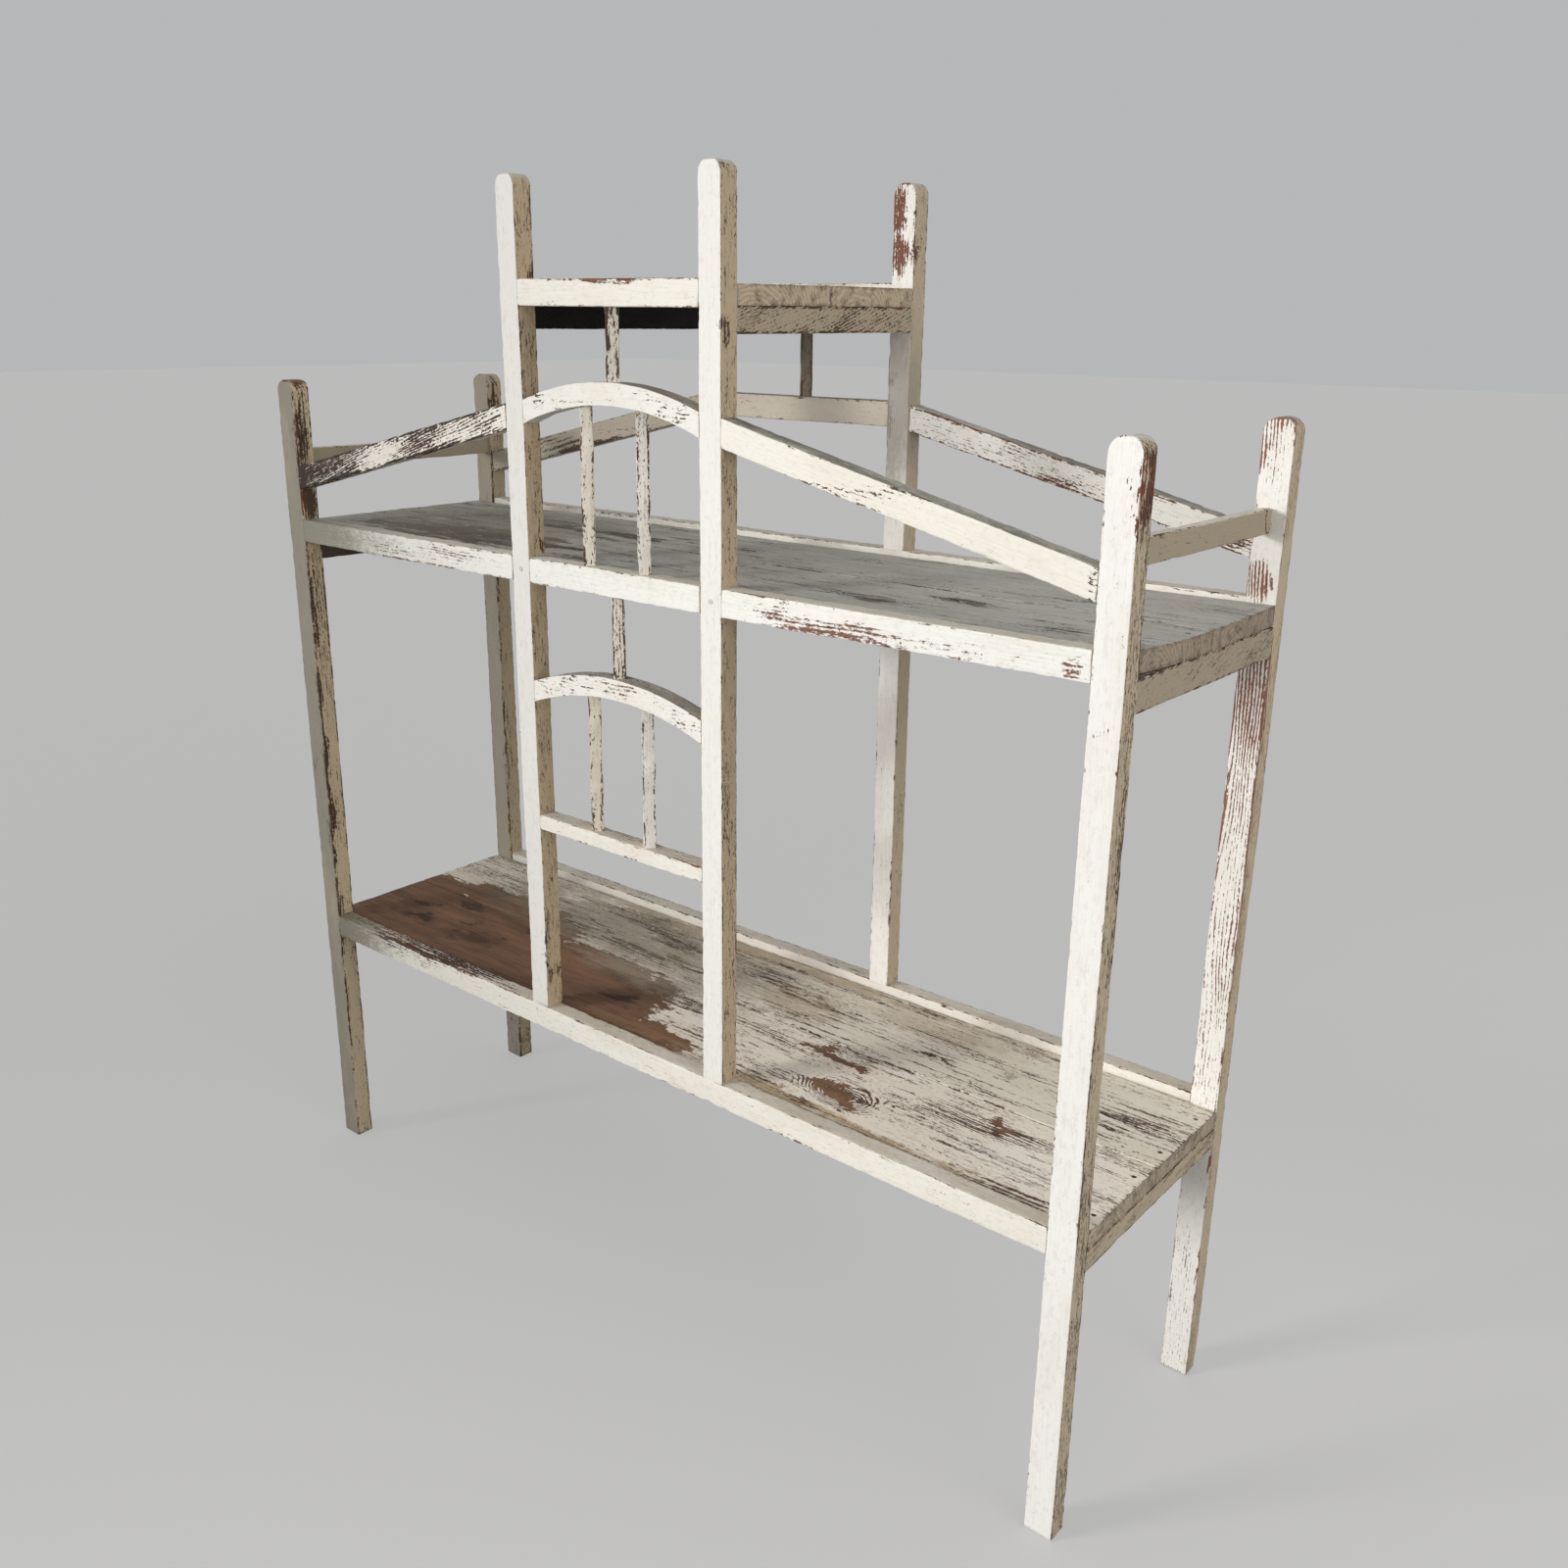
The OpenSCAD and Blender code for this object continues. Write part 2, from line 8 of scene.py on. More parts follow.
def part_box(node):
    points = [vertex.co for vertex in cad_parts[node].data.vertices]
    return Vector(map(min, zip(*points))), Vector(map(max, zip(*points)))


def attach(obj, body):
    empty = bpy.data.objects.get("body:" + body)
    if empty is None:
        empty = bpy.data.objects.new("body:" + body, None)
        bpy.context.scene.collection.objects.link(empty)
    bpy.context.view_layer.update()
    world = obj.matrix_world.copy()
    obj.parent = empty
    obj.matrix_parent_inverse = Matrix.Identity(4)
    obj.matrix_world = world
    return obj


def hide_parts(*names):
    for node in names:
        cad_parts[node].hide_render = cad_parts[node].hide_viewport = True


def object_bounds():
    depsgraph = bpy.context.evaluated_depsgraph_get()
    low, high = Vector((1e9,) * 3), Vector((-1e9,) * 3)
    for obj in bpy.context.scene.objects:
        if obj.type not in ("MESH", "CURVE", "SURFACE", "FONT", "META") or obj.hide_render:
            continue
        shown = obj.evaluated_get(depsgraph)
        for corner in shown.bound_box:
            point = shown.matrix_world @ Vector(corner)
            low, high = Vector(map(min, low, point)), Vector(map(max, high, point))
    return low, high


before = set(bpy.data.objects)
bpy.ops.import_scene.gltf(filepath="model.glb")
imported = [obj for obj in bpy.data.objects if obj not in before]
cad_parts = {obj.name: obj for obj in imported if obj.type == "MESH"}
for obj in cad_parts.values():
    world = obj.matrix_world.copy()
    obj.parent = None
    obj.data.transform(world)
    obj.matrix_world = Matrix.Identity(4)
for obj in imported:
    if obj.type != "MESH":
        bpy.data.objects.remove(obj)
cad_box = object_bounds()


# Corner posts
# Four softwood posts, 35 by 27 mm, that stand on the floor. Their tops are rounded by hand, and
# the rails are tenoned into them. Chalky white paint flakes off them along the grain.

UPRIGHT = Matrix.Rotation(math.radians(90), 3, "Y")
ALONG = Matrix.Identity(3)
ACROSS = Matrix.Rotation(math.radians(-90), 3, "Z")
SAME_POINT = 0.00002
ON_THE_CUT = 0.000005
SHARP_ANGLE = math.radians(40)

# The timber's crookedness comes from seeded noise, so that it is the same in every run
CROOKED_SEED = 7
noise.seed_set(CROOKED_SEED)


def from_box_faces(turn, low, high):
    """Gives the distances of a point to the three pairs of faces of a turned box."""
    def distances(point):
        spot = turn @ point
        return [min(spot[i] - low[i], high[i] - spot[i]) for i in range(3)]
    return distances


def cut_across(bm, direction, start, end, step):
    """Cuts a piece square to a direction at even steps, from start to end. Only what lies ahead is
    cut again, and it is kept in order, so that the mesh comes out the same each time."""
    count = max(1, round((end - start) / step))
    ahead = bm.verts[:] + bm.edges[:] + bm.faces[:]
    for k in range(1, count):
        place = start + (end - start) * k / count
        cut = bmesh.ops.bisect_plane(bm, geom=ahead, dist=ON_THE_CUT,
                                     plane_co=direction * place, plane_no=direction)
        faces = [f for f in cut["geom"] if isinstance(f, bmesh.types.BMFace)
                 and f.calc_center_median().dot(direction) > place]
        edges = dict.fromkeys(e for f in faces for e in f.edges)
        corners = dict.fromkeys(v for f in faces for v in f.verts)
        ahead = [*corners, *edges, *faces]


def cut_lines(bm, direction, places):
    """Cuts a piece by planes at the given places along a direction."""
    for place in places:
        bmesh.ops.bisect_plane(bm, geom=bm.verts[:] + bm.edges[:] + bm.faces[:], dist=ON_THE_CUT,
                               plane_co=direction * place, plane_no=direction)


def cut_up(bm, turn, low, high, step, columns):
    """Cuts a straight piece beside its edges, into columns if it is a board, and across the grain."""
    margin = 0.0045
    board_width = 0.1
    for i in (1, 2):
        width = high[i] - low[i]
        inner = [low[i] + width * k / (columns + 1) for k in range(1, columns + 1) if width > board_width]
        cut_lines(bm, turn[i], [low[i] + margin] + inner + [high[i] - margin])
    cut_across(bm, turn[0], low[0], high[0], step)


def mark_grain(bm, node, turn, low, high, distances):
    """Tells each point how near it is to an edge, as "wear", and its place in the tree, as "grain".
    The tree's heart lies outside the piece, at a place that follows from the piece's name."""
    wear = bm.verts.layers.float.new("wear")
    grain = bm.verts.layers.float_vector.new("grain")
    lot = sum(ord(letter) * (k + 1) for k, letter in enumerate(node))
    outside = Vector((lot * 0.37 % 5 + 3, 0.02 + lot * 0.013 % 0.04, 0.02 + lot * 0.007 % 0.03))
    heart = (low + high) / 2 - outside
    worn_edge = 0.0013
    fading = 0.003
    for v in bm.verts:
        second = sorted(distances(v.co))[1]
        v[wear] = 1 - min(1, max(0, (second - worn_edge) / fading))
        v[grain] = turn @ v.co - heart


def wear_down(bm, chip, hewn, bites, bend):
    """Nicks the edges, makes the faces uneven and the timber a little crooked, but keeps every point
    inside the CAD's box."""
    wear = bm.verts.layers.float["wear"]
    for v in bm.verts:
        at = v.co.copy()
        nick = max(0, noise.noise(at * 70) - 0.12) + 0.6 * max(0, noise.noise(at * 190) - 0.1)
        depth = chip * nick * v[wear] + hewn * (0.3 + noise.noise(at * 45))
        for centre, radius, bite in bites:
            near = (at - Vector(centre)).length / radius
            if near < 1:
                depth += bite * (1 - near * near) * (1 + 0.5 * noise.noise(at * 300))
        v.co -= v.normal * depth
        v.co += noise.noise_vector(at * 5) * 0.0009 + noise.noise_vector(at * 24) * 0.00025
        if bend:
            v.co.z += bend(at)
        for i in range(3):
            v.co[i] = min(cad_box[1][i], max(cad_box[0][i], v.co[i]))
        on_floor = at.z < 0.0001
        if on_floor:
            v.co.z = 0


def show_piece(bm, name, node, finish):
    """Makes a visible piece, which stands for a CAD node and rides on the rack's only body."""
    mesh = bpy.data.meshes.new(name)
    bm.to_mesh(mesh)
    bm.free()
    mesh.shade_smooth()
    mesh.set_sharp_from_angle(angle=SHARP_ANGLE)
    mesh.materials.append(finish)
    piece = bpy.data.objects.new(name, mesh)
    bpy.context.scene.collection.objects.link(piece)
    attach(piece, "root")
    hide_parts(node)
    return piece


def aged(node, finish, turn=ALONG, step=0.006, columns=0, chip=0.0016, hewn=0.0, bites=(),
         bend=None, distances=None):
    """Makes the worn piece that stands for a CAD piece, the same timber with the same joints. The
    turn brings its grain to x. The step and the columns say how finely it is cut, and distances
    measures from its faces where it isn't straight, and then it isn't cut. The chip sets how deep
    the nicks in its edges are, and hewn how deep its faces are hollowed, which swell where it is
    below 0. Bites are knocked out of it, each with its centre, radius and depth, and bend says how
    far a point has lifted."""
    bm = bmesh.new()
    bm.from_mesh(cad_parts[node].data)
    bmesh.ops.remove_doubles(bm, verts=bm.verts, dist=SAME_POINT)
    bmesh.ops.dissolve_limit(bm, angle_limit=math.radians(0.8), verts=bm.verts, edges=bm.edges)
    spots = [turn @ v.co for v in bm.verts]
    low = Vector([min(s[i] for s in spots) for i in range(3)])
    high = Vector([max(s[i] for s in spots) for i in range(3)])
    if distances is None:
        distances = from_box_faces(turn, low, high)
        cut_up(bm, turn, low, high, step, columns)
    bm.normal_update()
    mark_grain(bm, node, turn, low, high, distances)
    wear_down(bm, chip, hewn, bites, bend)
    piece = show_piece(bm, "aged_" + node, node, finish)
    even = piece.modifiers.new("even_shading", "WEIGHTED_NORMAL")
    even.keep_sharp = True


def add_node(tree, kind, inputs=None, **settings):
    """Adds a node to a material. An input is a value, or the socket of another node."""
    made = tree.nodes.new(kind)
    for name, value in settings.items():
        setattr(made, name, value)
    for name, value in (inputs or {}).items():
        if isinstance(value, bpy.types.NodeSocket):
            tree.links.new(value, made.inputs[name])
        else:
            made.inputs[name].default_value = value
    return made


def number(tree, operation, first, second=0.0):
    """Works out a number in a material."""
    return add_node(tree, "ShaderNodeMath", {0: first, 1: second}, operation=operation).outputs[0]


def vector(tree, operation, first, second):
    """Works out a place or a direction in a material, or the number that a dot product is."""
    made = add_node(tree, "ShaderNodeVectorMath", {0: first, 1: second}, operation=operation)
    return made.outputs["Value" if operation == "DOT_PRODUCT" else "Vector"]


def length(tree, place):
    """Works out how far a place is from the origin, in a material."""
    return add_node(tree, "ShaderNodeVectorMath", {0: place}, operation="LENGTH").outputs["Value"]


def weigh(tree, start, *parts):
    """Adds parts to a start value. Each part is a value and its weight."""
    for value, weight in parts:
        start = add_node(tree, "ShaderNodeMath", {0: value, 1: weight, 2: start},
                         operation="MULTIPLY_ADD").outputs[0]
    return start


def rise(tree, value, low, high, to_low=0.0, to_high=1.0):
    """Goes smoothly from one value to another as the input goes from low to high."""
    made = add_node(tree, "ShaderNodeMapRange", {"Value": value, "From Min": low, "From Max": high,
                    "To Min": to_low, "To Max": to_high}, interpolation_type="SMOOTHSTEP")
    return made.outputs[0]


def colour_mix(tree, factor, first, second):
    """Mixes two colours, of which the second has the factor as its share."""
    def full(colour):
        return colour if isinstance(colour, bpy.types.NodeSocket) else (*colour, 1)
    made = add_node(tree, "ShaderNodeMix", {0: factor, 6: full(first), 7: full(second)}, data_type="RGBA")
    return made.outputs[2]


def fibres(tree, grain, along, across, detail, roughness=0.6, output="Fac"):
    """Noise that is drawn out along the grain: along and across are its rates per metre."""
    stretched = vector(tree, "MULTIPLY", grain, (along, across, across))
    made = add_node(tree, "ShaderNodeTexNoise", {"Vector": stretched, "Scale": 1.0, "Detail": detail,
                    "Roughness": roughness})
    return made.outputs[output]


def shaken(tree, place, jolts, reach):
    """Moves a place to and fro, so that what is drawn there gets ragged edges."""
    jolts = vector(tree, "SUBTRACT", jolts, (0.5, 0.5, 0.5))
    return vector(tree, "ADD", place, vector(tree, "MULTIPLY", jolts, reach))


def patch(tree, place, centre, size, soft=0.6):
    """Is 1 inside an egg-shaped place on the piece and falls to 0 at its edge."""
    scaled = vector(tree, "DIVIDE", vector(tree, "SUBTRACT", place, centre), size)
    return rise(tree, length(tree, scaled), 1.0, 1.0 - soft)


def year_rings(tree, ring, spacing):
    """Rises to 1 and falls to 0 once in each year ring."""
    swing = number(tree, "SINE", number(tree, "MULTIPLY", ring, 2 * math.pi / spacing))
    return weigh(tree, 0.5, (swing, 0.5))


# The look of old paint where a piece doesn't ask for another. The colours are linear, and a rate is
# so many per metre, along and across the grain. A patch, a tint, a knot and a bald place each give
# their centre and their reach along x, y and z. A patch then has its strength, by which it is worn
# more, and a tint its colour and its share.
USUAL_LOOK = dict(
    # Paint lost all over, in specks, by year rings, in clumps and at places, which have ragged edges
    loss=0.0, specks=0.0, rings=0.08, clumps=0.0, patches=(), ragged=0.03,
    # Paint lost on the faces that look sideways, on those that look up, and at the edges
    side_loss=0.03, top_loss=0.05, edge_loss=0.14,
    # The flakes' rates, the angle that the grain is sawn at, and its knots
    flake=(62, 330), slant=0.0, knots=(),
    # The rates of the fine splits, how many there are, how many more on the sides, and their colour
    dash=(38, 560), cracks=0.5, side_cracks=0.05, split_colour=(0.06, 0.038, 0.026),
    # The paint in front and behind, on the sides, where its tan is partly painted shade, and on top, and its
    # stains
    white=(0.86, 0.83, 0.76), side=(0.60, 0.485, 0.32), top=(0.58, 0.515, 0.415),
    side_share=0.88, top_share=0.8, yellowing=0.2, tints=(),
    # The wood where the paint is gone, and how much of it is reddish
    wood=(0.125, 0.082, 0.056), red_wood=(0.25, 0.10, 0.062), red=0.3,
    # Places that are rubbed bare and smooth
    bald=(), rubbed=(0.24, 0.140, 0.085), rubbed_dark=(0.135, 0.072, 0.044),
    # The direction of the unpainted side and its colour, near black by default, which is unpainted wood with
    # painted shade, and the way that the sawn ends look
    unpainted=None, unpainted_colour=(0.035, 0.028, 0.021), ends=None, end_colour=(0.48, 0.395, 0.305))
RING_SPACING = 0.0036
END_RING_SPACING = 0.0058
BARE_ABOVE = 0.655


def growth(tree, place, look):
    """Gives the grain, which bends round knots, the distance from the tree's heart, by which the
    year rings lie, and how near a knot is."""
    grain = add_node(tree, "ShaderNodeAttribute", attribute_name="grain").outputs["Vector"]
    swell = 0.0
    for centre, size in look.knots:
        near = patch(tree, place, centre, size, 1.0)
        away = vector(tree, "MULTIPLY", vector(tree, "SUBTRACT", place, centre), (0, -0.85, 0))
        push = add_node(tree, "ShaderNodeVectorMath", {0: away, "Scale": near}, operation="SCALE")
        grain = vector(tree, "ADD", grain, push.outputs["Vector"])
        swell = weigh(tree, swell, (near, 1.0))
    if look.slant:
        turned = add_node(tree, "ShaderNodeVectorRotate", {"Vector": grain, "Axis": (0, 1, 0),
                          "Angle": look.slant}, rotation_type="AXIS_ANGLE")
        grain = turned.outputs["Vector"]
    from_heart = length(tree, vector(tree, "MULTIPLY", grain, (0, 1, 1)))
    ring = weigh(tree, from_heart, (fibres(tree, grain, 3.2, 17, 3, 0.5), 0.03), (swell, 0.028))
    if look.knots:
        ring = weigh(tree, ring, (number(tree, "MULTIPLY", swell, fibres(tree, grain, 40, 90, 3)), 0.02))
    return grain, ring, swell


def surface(tree, look):
    """Gathers what paint and wood are mixed by: how a spot faces, how near an edge it is, its grain
    and rings, its place with ragged edges to it, and noises that are drawn out along the grain."""
    coordinate = tree.nodes.new("ShaderNodeTexCoord")
    place = coordinate.outputs["Object"]
    facing = coordinate.outputs["Normal"]
    facing_parts = add_node(tree, "ShaderNodeSeparateXYZ", {0: facing})
    grain, ring, swell = growth(tree, place, look)
    jagged = shaken(tree, grain, fibres(tree, grain, 90, 330, 3, 0.65, "Color"), (0.05, 0.009, 0.009))
    jolts = fibres(tree, grain, 16, 34, 5, 0.66, "Color")
    return SimpleNamespace(
        facing=facing,
        sideways=rise(tree, number(tree, "ABSOLUTE", facing_parts.outputs[0]), 0.45, 0.85),
        upwards=rise(tree, facing_parts.outputs[2], 0.4, 0.85),
        wear=add_node(tree, "ShaderNodeAttribute", attribute_name="wear").outputs["Fac"],
        grain=grain,
        ring=ring,
        swell=swell,
        year=year_rings(tree, ring, RING_SPACING),
        ragged_place=shaken(tree, place, jolts, (2 * look.ragged, look.ragged, look.ragged)),
        brush=fibres(tree, grain, 22, 520, 2),
        stain=fibres(tree, grain, 6, 20, 5, 0.65),
        drift=fibres(tree, grain, 2.6, 8, 2),
        crumbs=fibres(tree, grain, 200, 520, 3, 0.65),
        mottle=fibres(tree, grain, 110, 200, 4, 0.7),
        zones=fibres(tree, grain, 7, 32, 4, 0.62),
        strips=fibres(tree, jagged, *look.flake, 5, 0.7),
        dashes=fibres(tree, jagged, *look.dash, 4, 0.6))


def paint_coat(tree, spot, look):
    """The paint itself, with cream stains, a tan on the faces that look sideways that is partly painted
    shade, dust on top, brush marks and grime.
    """
    stained = rise(tree, spot.stain, 0.45, 0.75, 0.0, look.yellowing)
    paint = colour_mix(tree, stained, look.white, look.side)
    # The faces that look sideways take the tan side colour, partly yellowed paint and partly painted shade
    paint = colour_mix(tree, number(tree, "MULTIPLY", spot.sideways, look.side_share), paint, look.side)
    streaks = weigh(tree, 0.0, (spot.stain, 0.5), (spot.strips, 0.5))
    streaks = rise(tree, streaks, 0.38, 0.58, 0.35 * look.top_share, look.top_share)
    paint = colour_mix(tree, number(tree, "MULTIPLY", spot.upwards, streaks), paint, look.top)
    brush_marks = rise(tree, spot.brush, 0.25, 0.5, 0.10, 0.0)
    paint = colour_mix(tree, brush_marks, paint, (0.30, 0.245, 0.17))
    grime = rise(tree, spot.mottle, 0.50, 0.68, 0.0, 0.16)
    return colour_mix(tree, grime, paint, (0.34, 0.27, 0.18))


def paint_loss(tree, spot, look):
    """How worn the paint is: it comes off in flakes and pits, and sooner at the chipped edges."""
    flakes = weigh(tree, 0.0, (spot.strips, 0.46), (spot.zones, 0.34), (spot.crumbs, 0.20))
    pits = weigh(tree, look.specks - 0.015, (spot.strips, 0.10), (spot.zones, 0.30), (spot.crumbs, 0.60))
    chips = rise(tree, fibres(tree, spot.grain, 55, 150, 5, 0.7), 0.40, 0.62)
    chipped = number(tree, "MULTIPLY", rise(tree, spot.wear, 0.25, 0.9), chips)
    over_all = look.loss - look.rings / 2 - look.clumps / 2 - 0.05
    worn = weigh(tree, number(tree, "MAXIMUM", flakes, pits), (over_all, 1.0), (spot.year, look.rings),
                 (spot.drift, 0.1), (spot.zones, look.clumps), (spot.sideways, look.side_loss),
                 (spot.upwards, look.top_loss), (chipped, look.edge_loss))
    for centre, size, strength in look.patches:
        worn = weigh(tree, worn, (patch(tree, spot.ragged_place, centre, size), strength))
    if look.knots:
        ridges = number(tree, "SUBTRACT", spot.year, 0.45)
        worn = weigh(tree, worn, (number(tree, "MULTIPLY", spot.swell, ridges), 0.24))
    return worn


def fine_splits(tree, spot, look):
    """Thin splits in the paint, along the grain, closer together where it is worn."""
    splits = weigh(tree, spot.dashes, (number(tree, "SUBTRACT", spot.sideways, 0.45), look.side_cracks),
                   (spot.zones, 0.25 + look.clumps))
    splits = number(tree, "SUBTRACT", splits, look.clumps / 2)
    open_above = 0.835 - 0.05 * look.cracks
    return rise(tree, splits, open_above, open_above + 0.015)


def bare_wood(tree, spot, look):
    """Old softwood with dark year rings and pores, reddish in places."""
    tint = fibres(tree, spot.grain, 9, 40, 2)
    reddish = rise(tree, tint, 0.62 - 0.35 * look.red, 0.72 - 0.35 * look.red)
    colour = colour_mix(tree, reddish, look.wood, look.red_wood)
    colour = colour_mix(tree, number(tree, "MULTIPLY", spot.year, 0.3), colour, (0.045, 0.03, 0.021))
    pores = fibres(tree, spot.grain, 60, 700, 3)
    return colour_mix(tree, rise(tree, pores, 0.4, 0.7, 0.0, 0.5), colour, (0.035, 0.023, 0.017))


def bald_places(tree, spot, look):
    """Is 1 where pots, hands and water have rubbed all the paint off."""
    rubbed = 0.0
    for centre, size in look.bald:
        rubbed = number(tree, "MAXIMUM", rubbed, patch(tree, spot.ragged_place, centre, size, 0.5))
    rubbed = weigh(tree, rubbed, (spot.strips, 0.9), (spot.crumbs, 0.5))
    return rise(tree, rubbed, 0.98, 1.03)


def rubbed_wood(tree, spot, look):
    """The smooth wood of the bald places: even brown with fine straight grain."""
    cloud = fibres(tree, spot.grain, 5, 22, 4, 0.6)
    colour = colour_mix(tree, rise(tree, cloud, 0.35, 0.68), look.rubbed, look.rubbed_dark)
    colour = colour_mix(tree, number(tree, "MULTIPLY", spot.year, 0.16), colour, look.rubbed_dark)
    lines = fibres(tree, spot.grain, 7, 620, 3)
    return colour_mix(tree, rise(tree, lines, 0.5, 0.72, 0.0, 0.6), colour, (0.05, 0.028, 0.018))


def end_grain(tree, spot, colour):
    """A sawn end: arcs of the year rings, darker where it has cracked and frayed."""
    year = year_rings(tree, spot.ring, END_RING_SPACING)
    colour = colour_mix(tree, number(tree, "MULTIPLY", year, 0.28), colour, (0.13, 0.09, 0.06))
    stained = weigh(tree, 0.0, (fibres(tree, spot.grain, 30, 70, 4, 0.6), 1.0), (spot.wear, 0.08))
    colour = colour_mix(tree, rise(tree, stained, 0.46, 0.70, 0.0, 0.7), colour, (0.17, 0.12, 0.085))
    cracked = weigh(tree, 0.0, (fibres(tree, spot.grain, 60, 330, 5, 0.72), 1.0), (spot.wear, 0.05))
    return colour_mix(tree, rise(tree, cracked, 0.62, 0.65, 0.0, 0.8), colour, (0.05, 0.034, 0.024))


def old_paint(name, **changes):
    """Old white paint over softwood, tan on the faces that look sideways, partly as painted shade, and worn
    off in flakes that follow the grain. The changes say where it differs from the usual look."""
    look = SimpleNamespace(**{**USUAL_LOOK, **changes})
    material = bpy.data.materials.new(name)
    material.use_nodes = True
    tree = material.node_tree
    spot = surface(tree, look)
    worn = paint_loss(tree, spot, look)
    thin = rise(tree, worn, BARE_ABOVE - 0.012, BARE_ABOVE + 0.001)
    bare = rise(tree, worn, BARE_ABOVE, BARE_ABOVE + 0.006)
    split = fine_splits(tree, spot, look)

    colour = paint_coat(tree, spot, look)
    colour = colour_mix(tree, number(tree, "MULTIPLY", thin, 0.4), colour, (0.40, 0.30, 0.21))
    colour = colour_mix(tree, bare, colour, bare_wood(tree, spot, look))
    if look.bald:
        bald = bald_places(tree, spot, look)
        colour = colour_mix(tree, bald, colour, rubbed_wood(tree, spot, look))
        bare = number(tree, "MAXIMUM", bare, bald)
        split = number(tree, "MULTIPLY", split, rise(tree, bald, 0.0, 1.0, 1.0, 0.4))
    # Most tints are stains; those at the rails' left ends and under the top shelf are painted shade
    for centre, size, shade, share in look.tints:
        near = patch(tree, spot.ragged_place, centre, size, 0.9)
        stained = weigh(tree, near, (spot.strips, 0.9), (spot.mottle, 0.6))
        colour = colour_mix(tree, rise(tree, stained, 0.80, 1.70, 0.0, share), colour, shade)
    colour = colour_mix(tree, number(tree, "MULTIPLY", split, 0.93), colour, look.split_colour)
    if look.unpainted is not None:
        turned = vector(tree, "DOT_PRODUCT", spot.facing, look.unpainted)
        colour = colour_mix(tree, rise(tree, turned, 0.6, 0.8), colour, look.unpainted_colour)
    if look.ends is not None:
        turned = number(tree, "ABSOLUTE", vector(tree, "DOT_PRODUCT", spot.facing, look.ends))
        sawn = end_grain(tree, spot, look.end_colour)
        colour = colour_mix(tree, rise(tree, turned, 0.6, 0.8), colour, sawn)

    height = weigh(tree, 0.0, (bare, -0.7), (spot.brush, 0.25), (spot.year, 0.10), (spot.mottle, 0.5),
                   (spot.crumbs, 0.3), (split, -0.9))
    bump = add_node(tree, "ShaderNodeBump", {"Height": height, "Strength": 0.9, "Distance": 0.0007})
    shader = tree.nodes["Principled BSDF"]
    shader.inputs["Specular IOR Level"].default_value = 0.35
    tree.links.new(colour, shader.inputs["Base Color"])
    tree.links.new(rise(tree, bare, 0, 1, 0.62, 0.86), shader.inputs["Roughness"])
    tree.links.new(bump.outputs[0], shader.inputs["Normal"])
    return material


corner_looks = {
    "front_left": dict(
        # A's front paint is made far darker than the rest: painted shade of the dim left end
        loss=-0.02, cracks=1.2, side_loss=0.085, white=(0.34, 0.315, 0.255), yellowing=0.3,
        side=(0.80, 0.655, 0.44), edge_loss=0.2,
        patches=(
            ((-0.628, -0.172, 1.035), (0.012, 0.018, 0.038), 0.14),
            ((-0.645, -0.173, 1.198), (0.03, 0.03, 0.016), 0.12),
            ((-0.628, -0.178, 1.13), (0.014, 0.016, 0.07), 0.08),
            ((-0.630, -0.185, 0.55), (0.007, 0.009, 0.5), 0.10))),
    "back_left": dict(
        # B's front paint is made darker too: painted shade of the dim left end
        loss=0.02, cracks=1.2, white=(0.42, 0.38, 0.31), yellowing=0.3, edge_loss=0.2,
        patches=(
            ((-0.628, 0.174, 1.15), (0.012, 0.016, 0.07), 0.16),
            ((-0.628, 0.168, 0.94), (0.012, 0.012, 0.06), 0.10))),
    "front_right": dict(
        loss=-0.045, cracks=1.0, side_cracks=0.17, red=0.6, specks=0.02, white=(0.90, 0.89, 0.86),
        side_loss=0.085,
        patches=(
            ((0.663, -0.174, 1.155), (0.012, 0.022, 0.065), 0.2),
            ((0.663, -0.166, 0.80), (0.012, 0.008, 0.30), 0.06),
            ((0.645, -0.187, 0.93), (0.014, 0.012, 0.018), 0.12),
            ((0.645, -0.187, 1.14), (0.02, 0.012, 0.06), 0.04))),
    "back_right": dict(
        loss=0.01, cracks=0.6, red=1.0, rings=0.15, white=(0.90, 0.88, 0.84), red_wood=(0.38, 0.175, 0.12),
        patches=(
            ((0.630, 0.16, 1.165), (0.010, 0.012, 0.032), 0.15),
            ((0.640, 0.16, 1.030), (0.026, 0.012, 0.035), 0.17),
            ((0.650, 0.16, 0.90), (0.034, 0.016, 0.10), 0.11),
            ((0.645, 0.16, 0.74), (0.04, 0.020, 0.34), 0.095),
            ((0.645, 0.16, 1.195), (0.022, 0.02, 0.014), 0.10))),
}
for corner, look in corner_looks.items():
    corner_post_paint = old_paint("corner_post_paint_" + corner, **look)
    aged("corner_post_" + corner, corner_post_paint, UPRIGHT)


# Centre posts
# Four taller posts, 32 by 27 mm, tenoned into the tops of the lower rails and halved over the
# middle rails, which a nail through each crossing holds.

